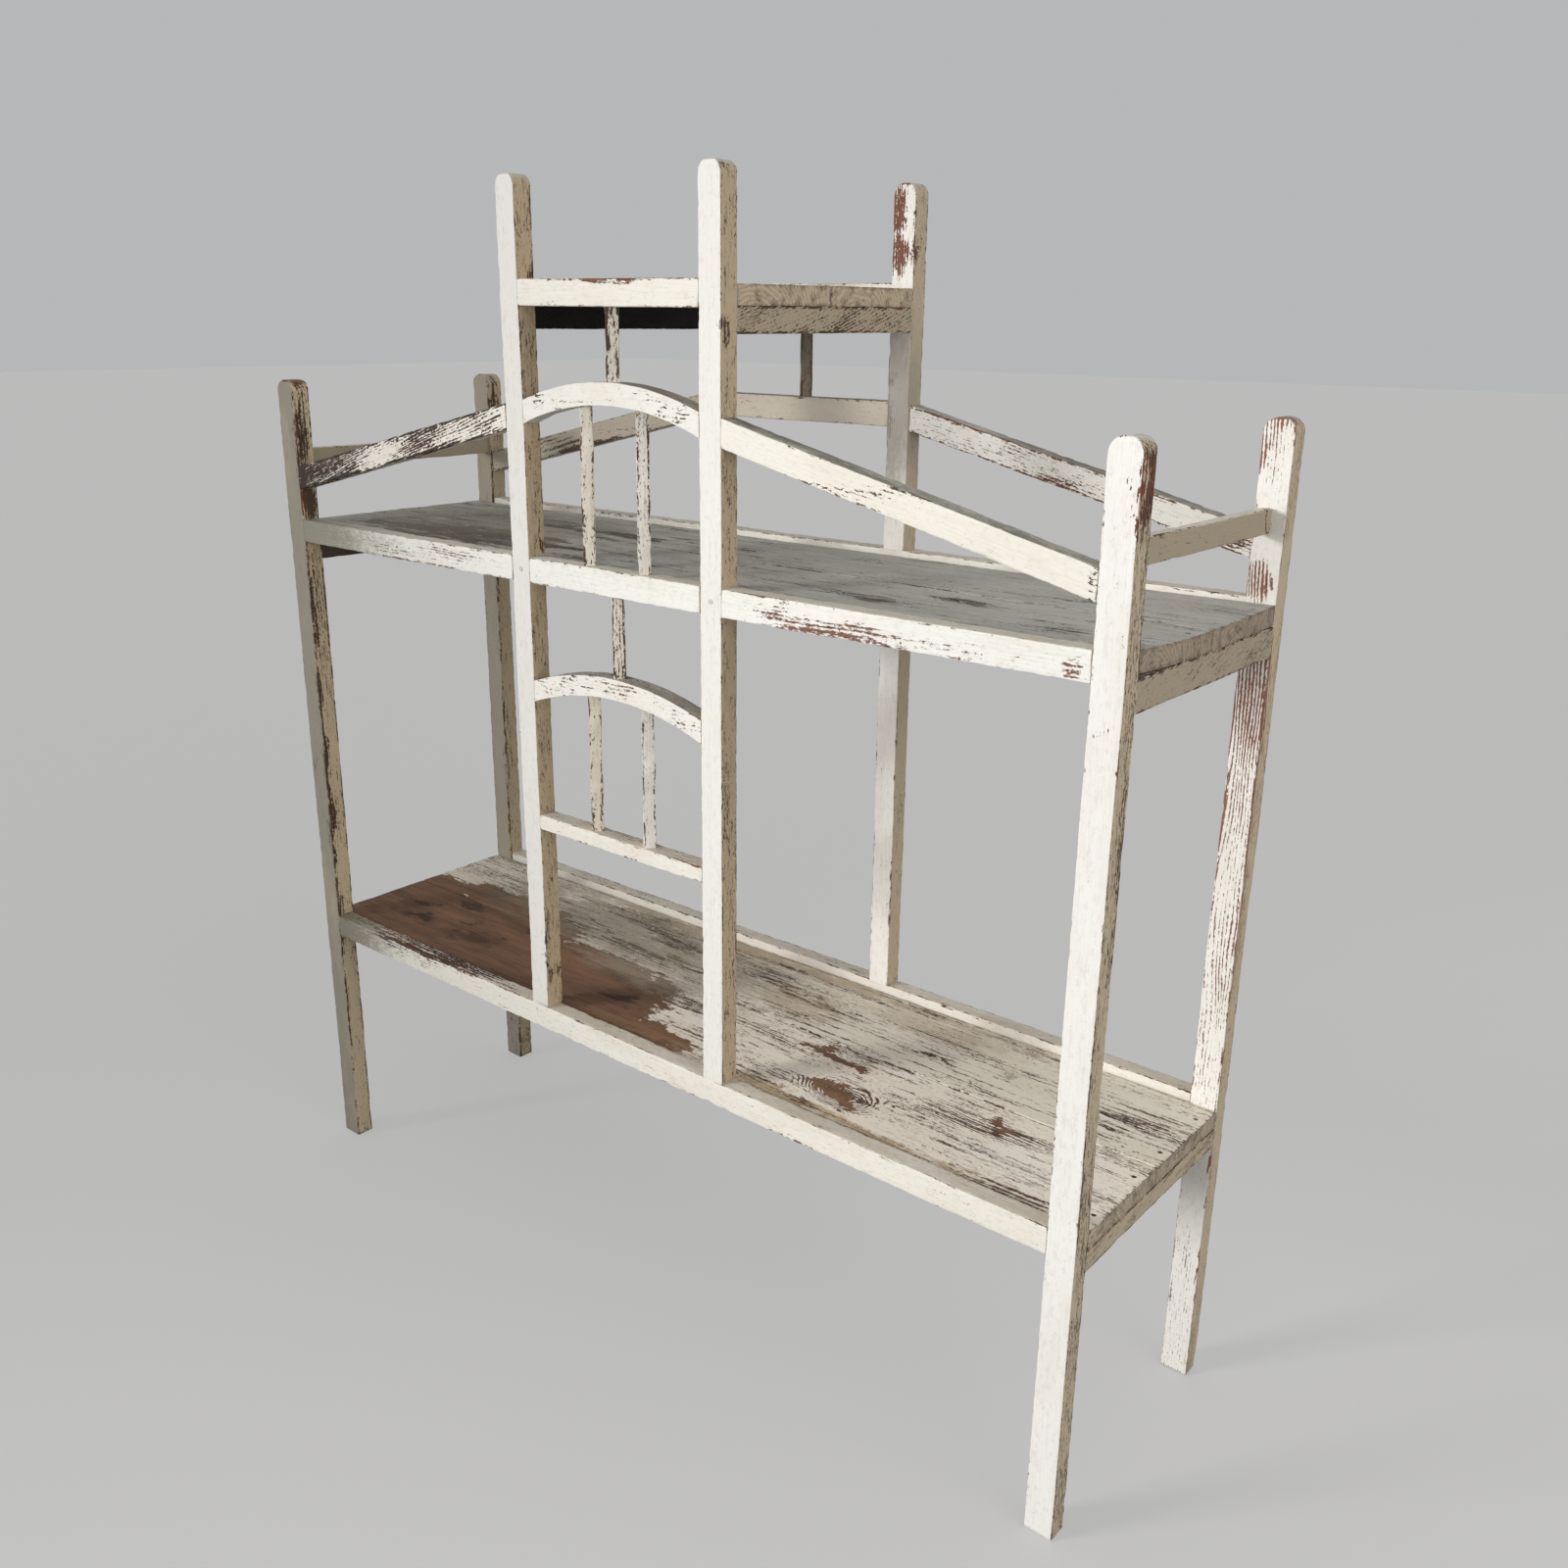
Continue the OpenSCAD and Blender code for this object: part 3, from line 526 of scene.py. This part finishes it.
centre_looks = {
    "front_left": dict(
        loss=-0.08, cracks=0.3, side_cracks=0.18, side=(0.62, 0.475, 0.285), white=(0.81, 0.80, 0.77),
        yellowing=0.08, side_loss=0.08,
        patches=(
            ((-0.143, -0.163, 1.338), (0.012, 0.014, 0.014), 0.16),
            ((-0.143, -0.165, 1.020), (0.012, 0.014, 0.014), 0.16),
            ((-0.143, -0.165, 0.675), (0.012, 0.012, 0.02), 0.12),
            ((-0.143, -0.170, 0.443), (0.012, 0.014, 0.02), 0.12),
            ((-0.145, -0.185, 0.48), (0.007, 0.009, 0.09), 0.14))),
    "front_right": dict(
        loss=-0.09, cracks=0.3, side_cracks=0.19, side=(0.60, 0.46, 0.285), white=(0.85, 0.84, 0.80),
        yellowing=0.06, side_loss=0.08,
        patches=(
            ((0.175, -0.172, 0.68), (0.012, 0.020, 0.30), 0.09),
            ((0.175, -0.178, 1.275), (0.012, 0.008, 0.024), 0.2),
            ((0.173, -0.178, 1.437), (0.012, 0.012, 0.012), 0.15))),
    "back_left": dict(loss=0.01, cracks=0.6, white=(0.88, 0.86, 0.81)),
    "back_right": dict(
        loss=0.0, cracks=0.8, red=1.0, white=(0.90, 0.88, 0.84),
        patches=(
            ((0.152, 0.16, 1.416), (0.021, 0.014, 0.044), 0.22),
            ((0.156, 0.16, 1.360), (0.026, 0.014, 0.034), 0.19),
            ((0.160, 0.16, 1.20), (0.022, 0.012, 0.07), 0.06),
            ((0.146, 0.16, 1.2), (0.007, 0.01, 0.1), 0.10)),
        # This tint darkens the post below the top shelf: painted shade of the shelf, with dirty streaks
        tints=(((0.155, 0.16, 1.19), (0.06, 0.06, 0.20), (0.40, 0.36, 0.31), 0.8),)),
}
for corner, look in centre_looks.items():
    centre_post_paint = old_paint("centre_post_paint_" + corner, **look)
    aged("centre_post_" + corner, centre_post_paint, UPRIGHT)


# Long rails
# Six rails in front and behind, 24 mm thick, one pair to a shelf, worn along their top edges.

rail_looks = {
    "lower_rail_front": dict(
        loss=-0.05, cracks=1.0, side_share=0.5, wood=(0.10, 0.056, 0.038),
        patches=(
            ((-0.45, -0.172, 0.392), (0.34, 0.024, 0.014), 0.17),
            ((-0.43, -0.187, 0.382), (0.18, 0.012, 0.018), 0.12),
            ((0.30, -0.187, 0.362), (0.10, 0.012, 0.007), 0.10)),
        # This tint darkens the rail's left end: painted shade of the dim left end
        tints=(((-0.66, -0.187, 0.375), (0.26, 0.05, 0.10), (0.20, 0.175, 0.13), 0.9),)),
    "lower_rail_back": dict(loss=0.0, cracks=0.8),
    "middle_rail_front": dict(
        loss=-0.04, cracks=0.5, red=0.8, flake=(90, 460), white=(0.88, 0.87, 0.83),
        red_wood=(0.33, 0.15, 0.105),
        patches=(
            ((0.22, -0.187, 0.991), (0.05, 0.012, 0.02), 0.05),
            ((-0.36, -0.187, 0.988), (0.20, 0.012, 0.020), 0.08),
            ((0.31, -0.187, 0.986), (0.15, 0.012, 0.014), 0.08),
            ((0.42, -0.187, 0.985), (0.27, 0.012, 0.014), 0.12),
            ((0.265, -0.187, 0.998), (0.03, 0.012, 0.008), 0.12),
            ((-0.28, -0.187, 0.998), (0.11, 0.012, 0.010), 0.08),
            ((0.615, -0.187, 0.991), (0.02, 0.012, 0.02), 0.15),
            ((-0.148, -0.187, 0.995), (0.012, 0.012, 0.02), 0.12)),
        # This tint darkens the rail's left end: painted shade of the dim left end
        tints=(((-0.66, -0.187, 0.992), (0.36, 0.05, 0.10), (0.26, 0.235, 0.18), 0.9),)),
    "middle_rail_back": dict(loss=-0.01, cracks=0.5),
    "top_rail_front": dict(
        loss=-0.055, cracks=0.3, red=0.8, flake=(70, 400),
        patches=(
            ((0.008, -0.187, 1.329), (0.05, 0.012, 0.009), 0.18),
            ((0.0, -0.187, 1.332), (0.16, 0.014, 0.004), 0.14),
            ((-0.085, -0.187, 1.304), (0.03, 0.012, 0.006), 0.10))),
    "top_rail_back": dict(loss=0.0, cracks=0.5),
}
for rail, look in rail_looks.items():
    aged(rail, old_paint(rail + "_paint", **look), ALONG, chip=0.0022)


# End rails
# Six short rails that carry the boards' ends, tenoned into the posts from front to back. Saw marks
# run aslant across them, and their inner sides were never painted; the top pair's are near black, painted
# shade under the top shelf.

end_rail_looks = {
    "lower": dict(loss=0.02, side=(0.54, 0.44, 0.30), unpainted_colour=(0.13, 0.105, 0.078)),
    "middle": dict(loss=0.02, side=(0.42, 0.345, 0.235), unpainted_colour=(0.13, 0.105, 0.078)),
    # The top pair's inner colour is near black: painted shade over unpainted wood
    "top": dict(loss=0.08, side=(0.46, 0.38, 0.255), unpainted_colour=(0.006, 0.005, 0.004)),
}
for end, inner in (("left", 1), ("right", -1)):
    for level, look in end_rail_looks.items():
        end_rail_paint = old_paint(f"{level}_end_rail_paint_{end}", specks=0.015, cracks=1.0, slant=0.3,
                                   flake=(80, 300), edge_loss=0.2, unpainted=(inner, 0, 0), **look)
        aged(f"{level}_rail_{end}", end_rail_paint, ACROSS)


# Sloping rails
# Four rails that fall from the centre posts to the corner posts, cut to fit at both ends. Dust lies
# on their tops, and the left front one has lost much of its paint in streaks; its heavy loss and very dark
# wood are also painted shade of the dim left end.

DUSTY = (0.20, 0.19, 0.155)
slope_looks = {
    "front_left": dict(
        # Heavy loss over the left part and very dark wood: worn paint and painted shade of the dim left end
        loss=0.01, rings=0.08, cracks=0.8, slant=0.12, flake=(38, 240), wood=(0.07, 0.048, 0.040),
        red_wood=(0.09, 0.052, 0.042), white=(0.90, 0.86, 0.79), edge_loss=0.2,
        patches=(
            ((-0.52, -0.187, 1.095), (0.42, 0.030, 0.20), 0.10),
            ((-0.60, -0.187, 1.070), (0.20, 0.030, 0.12), 0.085),
            ((-0.30, -0.187, 1.128), (0.11, 0.014, 0.014), 0.04),
            ((-0.205, -0.187, 1.170), (0.07, 0.014, 0.03), 0.06),
            ((-0.620, -0.187, 1.070), (0.012, 0.014, 0.05), 0.2))),
    "front_right": dict(
        loss=-0.075, cracks=0.0, flake=(85, 260),
        patches=(
            ((0.385, -0.187, 1.122), (0.15, 0.012, 0.022), 0.11),
            ((0.30, -0.187, 1.130), (0.25, 0.012, 0.012), 0.05),
            ((0.622, -0.187, 1.065), (0.012, 0.012, 0.024), 0.20))),
    "back_left": dict(
        # The paint behind is made darker tan: painted shade at the back
        loss=0.03, cracks=0.8, white=(0.50, 0.45, 0.37),
        patches=(((-0.40, 0.163, 1.10), (0.25, 0.012, 0.02), 0.08),)),
    "back_right": dict(
        loss=0.045, cracks=1.2, red=1.0, flake=(36, 480), white=(0.88, 0.86, 0.81),
        patches=(
            ((0.40, 0.163, 1.105), (0.25, 0.012, 0.016), 0.06),
            ((0.60, 0.163, 1.07), (0.04, 0.012, 0.02), 0.08))),
}
fall = 0.10792
run = 0.453
slope = math.atan(fall / run)
for corner, look in slope_looks.items():
    lie = Matrix.Rotation(slope if corner.endswith("left") else -slope, 3, "Y")
    sloping_rail_paint = old_paint("sloping_rail_paint_" + corner, top=DUSTY, top_share=1.0, top_loss=0.0,
                                   **look)
    aged("sloping_rail_" + corner, sloping_rail_paint, lie)


# Guard rails
# Two thin laths across the ends, over the middle shelf, with the smoothest paint on the rack.

guard_rail_paint = old_paint(
    "guard_rail_paint", loss=-0.075, cracks=0.3, side_loss=0.0, edge_loss=0.19, side=(0.41, 0.345, 0.228),
    patches=(
        ((0.645, 0.147, 1.09), (0.03, 0.003, 0.03), 0.25),
        ((0.645, 0.158, 1.08), (0.03, 0.010, 0.015), 0.12)))
for end in ("left", "right"):
    aged("guard_rail_" + end, guard_rail_paint, ACROSS)


# Trellis arches
# Two sawn arches between the front centre posts, 24 mm thick, chipped along their top edges.

arch_reach = 0.143
arch_rise = 0.027
arch_depth = 0.0255
arch_radius = (arch_reach ** 2 + arch_rise ** 2) / (2 * arch_rise)


def from_arch_faces(low, high):
    """Gives the distances of a point to the curved and to the flat faces of an arch. Its ends are
    inside the posts, so they count as far away."""
    centre_z = high.z - arch_depth - arch_radius
    far = 1.0

    def distances(point):
        reach = math.hypot(point.x, point.z - centre_z)
        return [min(reach - arch_radius, arch_radius + arch_depth - reach),
                min(point.y - low.y, high.y - point.y), far]
    return distances


for level in ("upper", "lower"):
    low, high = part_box(level + "_arch")
    shoulder_z = high.z - arch_rise
    arch_paint = old_paint(
        level + "_arch_paint", loss=-0.05, cracks=0.4, white=(0.87, 0.85, 0.80), top=(0.26, 0.22, 0.165),
        top_loss=0.0, flake=(80, 420),
        patches=(
            ((-0.10, -0.187, shoulder_z), (0.05, 0.012, 0.016), 0.05),
            ((0.11, -0.187, shoulder_z), (0.04, 0.012, 0.018), 0.05)))
    aged(level + "_arch", arch_paint, ALONG, distances=from_arch_faces(low, high))


# Straight rails of the trellis
# One thin rail under the lower arch in front, and one rail in the upper arch's place behind.

trellis_rail_paint = old_paint("trellis_rail_paint", loss=0.0, cracks=0.6, red=0.7)
aged("trellis_rail", trellis_rail_paint, ALONG)
# Its paint is made darker tan: painted shade at the back
back_cross_rail_paint = old_paint("back_cross_rail_paint", loss=-0.01, cracks=0.8, white=(0.68, 0.62, 0.52),
                                  top=DUSTY)
aged("back_cross_rail", back_cross_rail_paint, ALONG)


# Balusters
# Seven square sticks, 14 mm, that stand cornerwise in pockets. They were split rather than sawn,
# so they are uneven and a little fuller in places. Thin cream paint comes off them in small flakes.

CORNERWISE = UPRIGHT @ Matrix.Rotation(math.radians(45), 3, "Z")
baluster_looks = {
    "top": dict(loss=0.075, white=(0.94, 0.89, 0.79),
                patches=(((0.004, -0.175, 1.28), (0.012, 0.02, 0.035), 0.12),)),
    "upper_left": dict(loss=0.06, white=(0.96, 0.90, 0.79)),
    "upper_right": dict(loss=0.04, white=(0.97, 0.93, 0.86)),
    "middle": dict(loss=0.10, white=(0.96, 0.90, 0.79)),
    "lower_left": dict(loss=0.075, white=(0.90, 0.81, 0.67)),
    "lower_right": dict(loss=0.03, white=(0.97, 0.94, 0.88)),
    # The back baluster's paint is made dark: painted shade at the back
    "back": dict(loss=0.05, white=(0.30, 0.26, 0.20)),
}
for baluster, look in baluster_looks.items():
    baluster_paint = old_paint("baluster_paint_" + baluster, cracks=0.8, side_share=0.0, side_loss=0.0,
                               yellowing=0.1, flake=(70, 420), specks=0.025, clumps=-0.1, edge_loss=0.17,
                               **look)
    aged("baluster_" + baluster, baluster_paint, CORNERWISE, step=0.004, chip=0.0006,
         hewn=-0.0014)


# Lower shelf
# Two boards, 22 mm thick, nailed to the end rails. Their greyish cream paint is split along the
# grain, and pots and water have worn it off the left of the front board down to red-brown wood.

lower_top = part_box("lower_board_front")[1].z
lower_board_marks = {
    "front": dict(
        loss=0.05, white=(0.97, 0.915, 0.82), top=(0.90, 0.81, 0.69),
        bald=(
            ((-0.47, -0.085, lower_top), (0.34, 0.150, 0.03)),
            ((-0.62, -0.090, lower_top), (0.14, 0.160, 0.03)),
            ((-0.38, -0.150, lower_top), (0.38, 0.060, 0.03)),
            ((-0.22, -0.090, lower_top), (0.24, 0.130, 0.03)),
            ((-0.04, -0.145, lower_top), (0.13, 0.050, 0.03)),
            ((0.265, -0.103, lower_top), (0.036, 0.017, 0.03)),
            ((0.305, -0.112, lower_top), (0.026, 0.010, 0.03)),
            ((0.230, -0.031, lower_top), (0.060, 0.011, 0.03)),
            ((0.487, -0.038, lower_top), (0.024, 0.009, 0.03))),
        patches=(
            ((-0.20, -0.08, lower_top), (0.36, 0.16, 0.03), 0.05),
            ((0.283, -0.105, lower_top), (0.09, 0.040, 0.02), 0.08),
            ((0.21, -0.031, lower_top), (0.14, 0.026, 0.02), 0.09),
            ((0.355, -0.083, lower_top), (0.09, 0.018, 0.02), 0.10),
            ((0.20, -0.145, lower_top), (0.20, 0.020, 0.02), 0.08),
            ((0.45, -0.060, lower_top), (0.14, 0.030, 0.02), 0.05),
            ((0.487, -0.038, lower_top), (0.06, 0.016, 0.02), 0.08),
            ((0.33, -0.145, lower_top), (0.12, 0.014, 0.02), 0.07)),
        tints=(
            ((0.58, -0.100, lower_top), (0.20, 0.075, 0.03), (0.95, 0.91, 0.83), 0.5),
            ((-0.10, -0.015, lower_top), (0.28, 0.060, 0.03), (0.42, 0.375, 0.295), 0.55),
            ((0.30, -0.152, lower_top), (0.42, 0.018, 0.03), (0.52, 0.38, 0.22), 0.8),
            ((-0.53, -0.105, lower_top), (0.05, 0.020, 0.03), (0.035, 0.022, 0.017), 0.85),
            ((-0.47, -0.060, lower_top), (0.03, 0.010, 0.03), (0.035, 0.022, 0.017), 0.8),
            ((-0.42, -0.095, lower_top), (0.07, 0.036, 0.03), (0.05, 0.030, 0.02), 0.7),
            ((-0.58, -0.060, lower_top), (0.03, 0.010, 0.03), (0.04, 0.025, 0.018), 0.8),
            ((-0.50, -0.015, lower_top), (0.05, 0.014, 0.03), (0.05, 0.030, 0.02), 0.8),
            ((-0.37, -0.020, lower_top), (0.03, 0.010, 0.03), (0.05, 0.030, 0.02), 0.8),
            ((-0.10, -0.090, lower_top), (0.06, 0.022, 0.03), (0.04, 0.024, 0.018), 0.85),
            ((-0.20, -0.140, lower_top), (0.07, 0.014, 0.03), (0.05, 0.028, 0.02), 0.7)),
        knots=(
            ((0.298, -0.103, lower_top), (0.085, 0.046, 0.05)),
            ((0.094, -0.064, lower_top), (0.034, 0.018, 0.05)))),
    "back": dict(
        loss=0.03, white=(0.86, 0.81, 0.71), top=(0.79, 0.725, 0.605),
        bald=(
            ((-0.45, 0.020, lower_top), (0.18, 0.058, 0.03)),
            ((-0.63, 0.005, lower_top), (0.10, 0.050, 0.03))),
        patches=(
            ((-0.40, 0.03, lower_top), (0.30, 0.08, 0.03), 0.05),
            ((0.10, 0.072, lower_top), (0.06, 0.020, 0.02), 0.09),
            ((0.34, 0.054, lower_top), (0.08, 0.014, 0.02), 0.09),
            ((-0.22, 0.126, lower_top), (0.08, 0.028, 0.02), 0.10),
            ((-0.17, 0.036, lower_top), (0.08, 0.022, 0.02), 0.11)),
        tints=(
            ((-0.25, 0.080, lower_top), (0.55, 0.16, 0.03), (0.27, 0.235, 0.165), 0.75),
            ((0.11, 0.055, lower_top), (0.13, 0.08, 0.03), (0.46, 0.34, 0.21), 0.5),
            ((0.30, 0.110, lower_top), (0.20, 0.04, 0.03), (0.50, 0.38, 0.24), 0.45),
            ((0.05, 0.150, lower_top), (0.65, 0.028, 0.03), (0.42, 0.31, 0.19), 0.65)),
        knots=(
            ((0.423, 0.144, lower_top), (0.024, 0.016, 0.05)),
            ((0.426, 0.072, lower_top), (0.020, 0.013, 0.05)))),
}
knocked_corner = ((0.663, -0.158, 0.389), 0.016, 0.006)
# The boards' undersides take the near black unpainted colour: unpainted wood darkened as painted shade
for board, marks in lower_board_marks.items():
    lower_board_paint = old_paint(
        "lower_board_paint_" + board, cracks=2.8, clumps=0.14, red=0.9, rings=0.12, ragged=0.09,
        flake=(14, 260), dash=(7, 280), top_loss=0.0, yellowing=0.3, split_colour=(0.085, 0.042, 0.026),
        wood=(0.10, 0.058, 0.038), red_wood=(0.17, 0.078, 0.048), rubbed=(0.275, 0.152, 0.086),
        rubbed_dark=(0.155, 0.082, 0.05), unpainted=(0, 0, -1), ends=(1, 0, 0),
        end_colour=(0.62, 0.53, 0.40), **marks)
    aged("lower_board_" + board, lower_board_paint, ALONG, columns=12,
         bites=(knocked_corner,))


# Middle and top shelves
# Boards as below, weathered to a streaked grey. The middle ones have cupped at the right end, where
# their edges have lifted off the end rail.

def cupped(at):
    """How far a point of the middle boards has lifted: most at the front of the right end."""
    front_lift = 0.0055
    back_lift = 0.0022
    along = min(1, max(0, (at.x - 0.15) / 0.513))
    front = min(1, max(0, (-at.y - 0.04) / 0.119))
    back = min(1, max(0, (at.y - 0.05) / 0.109))
    return along * along * (front_lift * front ** 1.5 + back_lift * back ** 1.5)


middle_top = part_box("middle_board_front")[1].z
# The boards' undersides take the near black unpainted colour: unpainted wood darkened as painted shade
weathered_look = dict(
    rings=0.12, clumps=0.15, ragged=0.09, flake=(12, 260), dash=(7, 300), top_loss=0.0, yellowing=0.5,
    white=(0.60, 0.59, 0.56), top=(0.415, 0.405, 0.378), unpainted=(0, 0, -1), ends=(1, 0, 0))
middle_board_paint = old_paint(
    "middle_board_paint", loss=0.015, cracks=2.1, red=0.1, wood=(0.075, 0.052, 0.040),
    split_colour=(0.04, 0.026, 0.019),
    patches=(
        ((-0.40, -0.08, middle_top), (0.28, 0.10, 0.03), 0.13),
        ((-0.30, 0.06, middle_top), (0.28, 0.03, 0.03), 0.10),
        ((-0.10, -0.08, middle_top), (0.14, 0.07, 0.03), 0.06),
        ((0.005, 0.060, middle_top), (0.04, 0.016, 0.02), 0.10),
        ((0.05, 0.020, middle_top), (0.04, 0.012, 0.02), 0.10),
        ((0.24, 0.035, middle_top), (0.06, 0.014, 0.02), 0.10)),
    tints=(
        ((-0.46, 0.0, middle_top), (0.52, 0.30, 0.03), (0.26, 0.235, 0.18), 0.85),
        ((-0.38, -0.09, middle_top), (0.28, 0.085, 0.03), (0.06, 0.042, 0.034), 0.45),
        ((-0.30, 0.04, middle_top), (0.25, 0.018, 0.03), (0.075, 0.055, 0.043), 0.8),
        ((0.40, -0.045, middle_top), (0.05, 0.02, 0.03), (0.10, 0.09, 0.08), 0.8),
        ((0.31, -0.100, middle_top), (0.05, 0.02, 0.03), (0.12, 0.09, 0.07), 0.8)),
    bald=(
        ((-0.52, -0.100, middle_top), (0.11, 0.014, 0.03)),
        ((-0.40, -0.082, middle_top), (0.14, 0.018, 0.03)),
        ((-0.33, -0.118, middle_top), (0.12, 0.013, 0.03)),
        ((-0.46, -0.055, middle_top), (0.09, 0.011, 0.03)),
        ((-0.29, -0.045, middle_top), (0.12, 0.011, 0.03)),
        ((-0.21, -0.090, middle_top), (0.09, 0.012, 0.03)),
        ((-0.24, 0.050, middle_top), (0.12, 0.012, 0.03))),
    rubbed=(0.075, 0.053, 0.043), rubbed_dark=(0.05, 0.036, 0.03),
    knots=(
        ((0.40, -0.045, middle_top), (0.05, 0.03, 0.05)),
        ((0.31, -0.10, middle_top), (0.05, 0.025, 0.05))),
    **weathered_look)
top_board_paint = old_paint("top_board_paint", cracks=1.2, end_colour=(0.70, 0.575, 0.42), **weathered_look)
for board in ("front", "back"):
    aged("middle_board_" + board, middle_board_paint, ALONG, columns=12, bend=cupped)
    aged("top_board_" + board, top_board_paint, ALONG, columns=12)


# Nails
# Rusted iron nails, eight to a shelf with their heads sunk in the boards, and one through each
# crossing joint, painted over. Those of the middle shelf have come up with the boards.

rusted_iron = bpy.data.materials.new("rusted_iron")
rusted_iron.use_nodes = True
tree = rusted_iron.node_tree
shader = tree.nodes["Principled BSDF"]
place = tree.nodes.new("ShaderNodeTexCoord").outputs["Object"]
scale = add_node(tree, "ShaderNodeTexNoise", {"Vector": place, "Scale": 900.0, "Detail": 4.0}).outputs["Fac"]
rust = colour_mix(tree, rise(tree, scale, 0.4, 0.6), (0.030, 0.022, 0.018), (0.11, 0.045, 0.022))
smear = add_node(tree, "ShaderNodeTexNoise", {"Vector": place, "Scale": 28.0, "Detail": 1.0}).outputs["Fac"]
rust = colour_mix(tree, rise(tree, smear, 0.42, 0.5, 0.0, 0.75), rust, (0.42, 0.39, 0.34))
pitted = add_node(tree, "ShaderNodeBump", {"Height": scale, "Strength": 0.7, "Distance": 0.0003})
shader.inputs["Metallic"].default_value = 0.3
tree.links.new(rust, shader.inputs["Base Color"])
tree.links.new(rise(tree, scale, 0.3, 0.7, 0.5, 0.9), shader.inputs["Roughness"])
tree.links.new(pitted.outputs[0], shader.inputs["Normal"])
painted_nail = old_paint("painted_nail", loss=-0.02, white=(0.62, 0.60, 0.55), yellowing=0.1)
for node in ("lower_board_nails", "middle_board_nails", "top_board_nails", "crossing_nails"):
    bm = bmesh.new()
    bm.from_mesh(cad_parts[node].data)
    bmesh.ops.remove_doubles(bm, verts=bm.verts, dist=SAME_POINT)
    if node == "middle_board_nails":
        for v in bm.verts:
            v.co.z += cupped(v.co)
    finish = painted_nail if node == "crossing_nails" else rusted_iron
    show_piece(bm, "rusted_" + node, node, finish)


# Floor, light and camera
# A plain pale floor, one large soft lamp in front on the left, aimed past the right end so that
# the left end stays dim, a weak fill lamp on the right, and even light all round.

def seen_directly(tree):
    """Is 1 where the camera looks, also by way of a gloss, and 0 for light on its way to the rack."""
    rays = tree.nodes.new("ShaderNodeLightPath")
    return number(tree, "MAXIMUM", rays.outputs["Is Camera Ray"], rays.outputs["Is Glossy Ray"])


def stand_lamp(lamp, place, target):
    """Puts a lamp at a place and turns it towards a target."""
    stand = bpy.data.objects.new(lamp.name, lamp)
    stand.location = place
    aim = Vector(target) - stand.location
    stand.rotation_euler = aim.to_track_quat("-Z", "Y").to_euler()
    bpy.context.scene.collection.objects.link(stand)


bm = bmesh.new()
bmesh.ops.create_grid(bm, x_segments=1, y_segments=1, size=30)
floor_mesh = bpy.data.meshes.new("floor")
bm.to_mesh(floor_mesh)
bm.free()
floor = bpy.data.objects.new("floor", floor_mesh)
bpy.context.scene.collection.objects.link(floor)
floor_paint = bpy.data.materials.new("floor_paint")
floor_paint.use_nodes = True
tree = floor_paint.node_tree
shader = tree.nodes["Principled BSDF"]
shader.inputs["Base Color"].default_value = (0.22, 0.22, 0.22, 1)
shader.inputs["Roughness"].default_value = 0.9
shader.inputs["Emission Color"].default_value = (1, 1, 1, 1)
tree.links.new(number(tree, "MULTIPLY", seen_directly(tree), 0.36), shader.inputs["Emission Strength"])
floor_mesh.materials.append(floor_paint)

world = bpy.data.worlds.new("room")
world.use_nodes = True
bpy.context.scene.world = world
tree = world.node_tree
even_light = tree.nodes["Background"]
even_light.inputs["Color"].default_value = (1.0, 0.985, 0.96, 1)
even_light.inputs["Strength"].default_value = 0.5
backdrop = add_node(tree, "ShaderNodeBackground", {"Color": (0.47, 0.475, 0.48, 1), "Strength": 1.0})
either = add_node(tree, "ShaderNodeMixShader",
                  {0: seen_directly(tree), 1: even_light.outputs[0], 2: backdrop.outputs[0]})
tree.links.new(either.outputs[0], tree.nodes["World Output"].inputs["Surface"])

soft_lamp = bpy.data.lights.new("soft_lamp", "SPOT")
soft_lamp.energy = 1000
soft_lamp.color = (1.0, 0.985, 0.965)
soft_lamp.shadow_soft_size = 0.8
soft_lamp.spot_size = math.radians(43)
soft_lamp.spot_blend = 0.6
stand_lamp(soft_lamp, place=(-2.6, -4.6, 2.0), target=(1.49, -0.2, 0.75))

fill_lamp = bpy.data.lights.new("fill_lamp", "AREA")
fill_lamp.energy = 32
fill_lamp.color = (1.0, 0.96, 0.90)
fill_lamp.size = 2.5
stand_lamp(fill_lamp, place=(3.5, -1.0, 1.6), target=(0.0, 0.0, 0.7))

camera_place = (1.2323, -1.3677, 1.2965)
turn_left = Matrix.Rotation(math.radians(39.26), 4, "Z")
tip_up = Matrix.Rotation(math.radians(72.02), 4, "X")
roll = Matrix.Rotation(math.radians(0.68), 4, "Z")
camera = bpy.data.cameras.new("camera")
camera.sensor_width = 36
camera.lens = 33.31
tripod = bpy.data.objects.new("camera", camera)
tripod.matrix_world = Matrix.Translation(camera_place) @ turn_left @ tip_up @ roll
bpy.context.scene.collection.objects.link(tripod)
bpy.context.scene.camera = tripod
bpy.context.scene.view_settings.view_transform = "Standard"
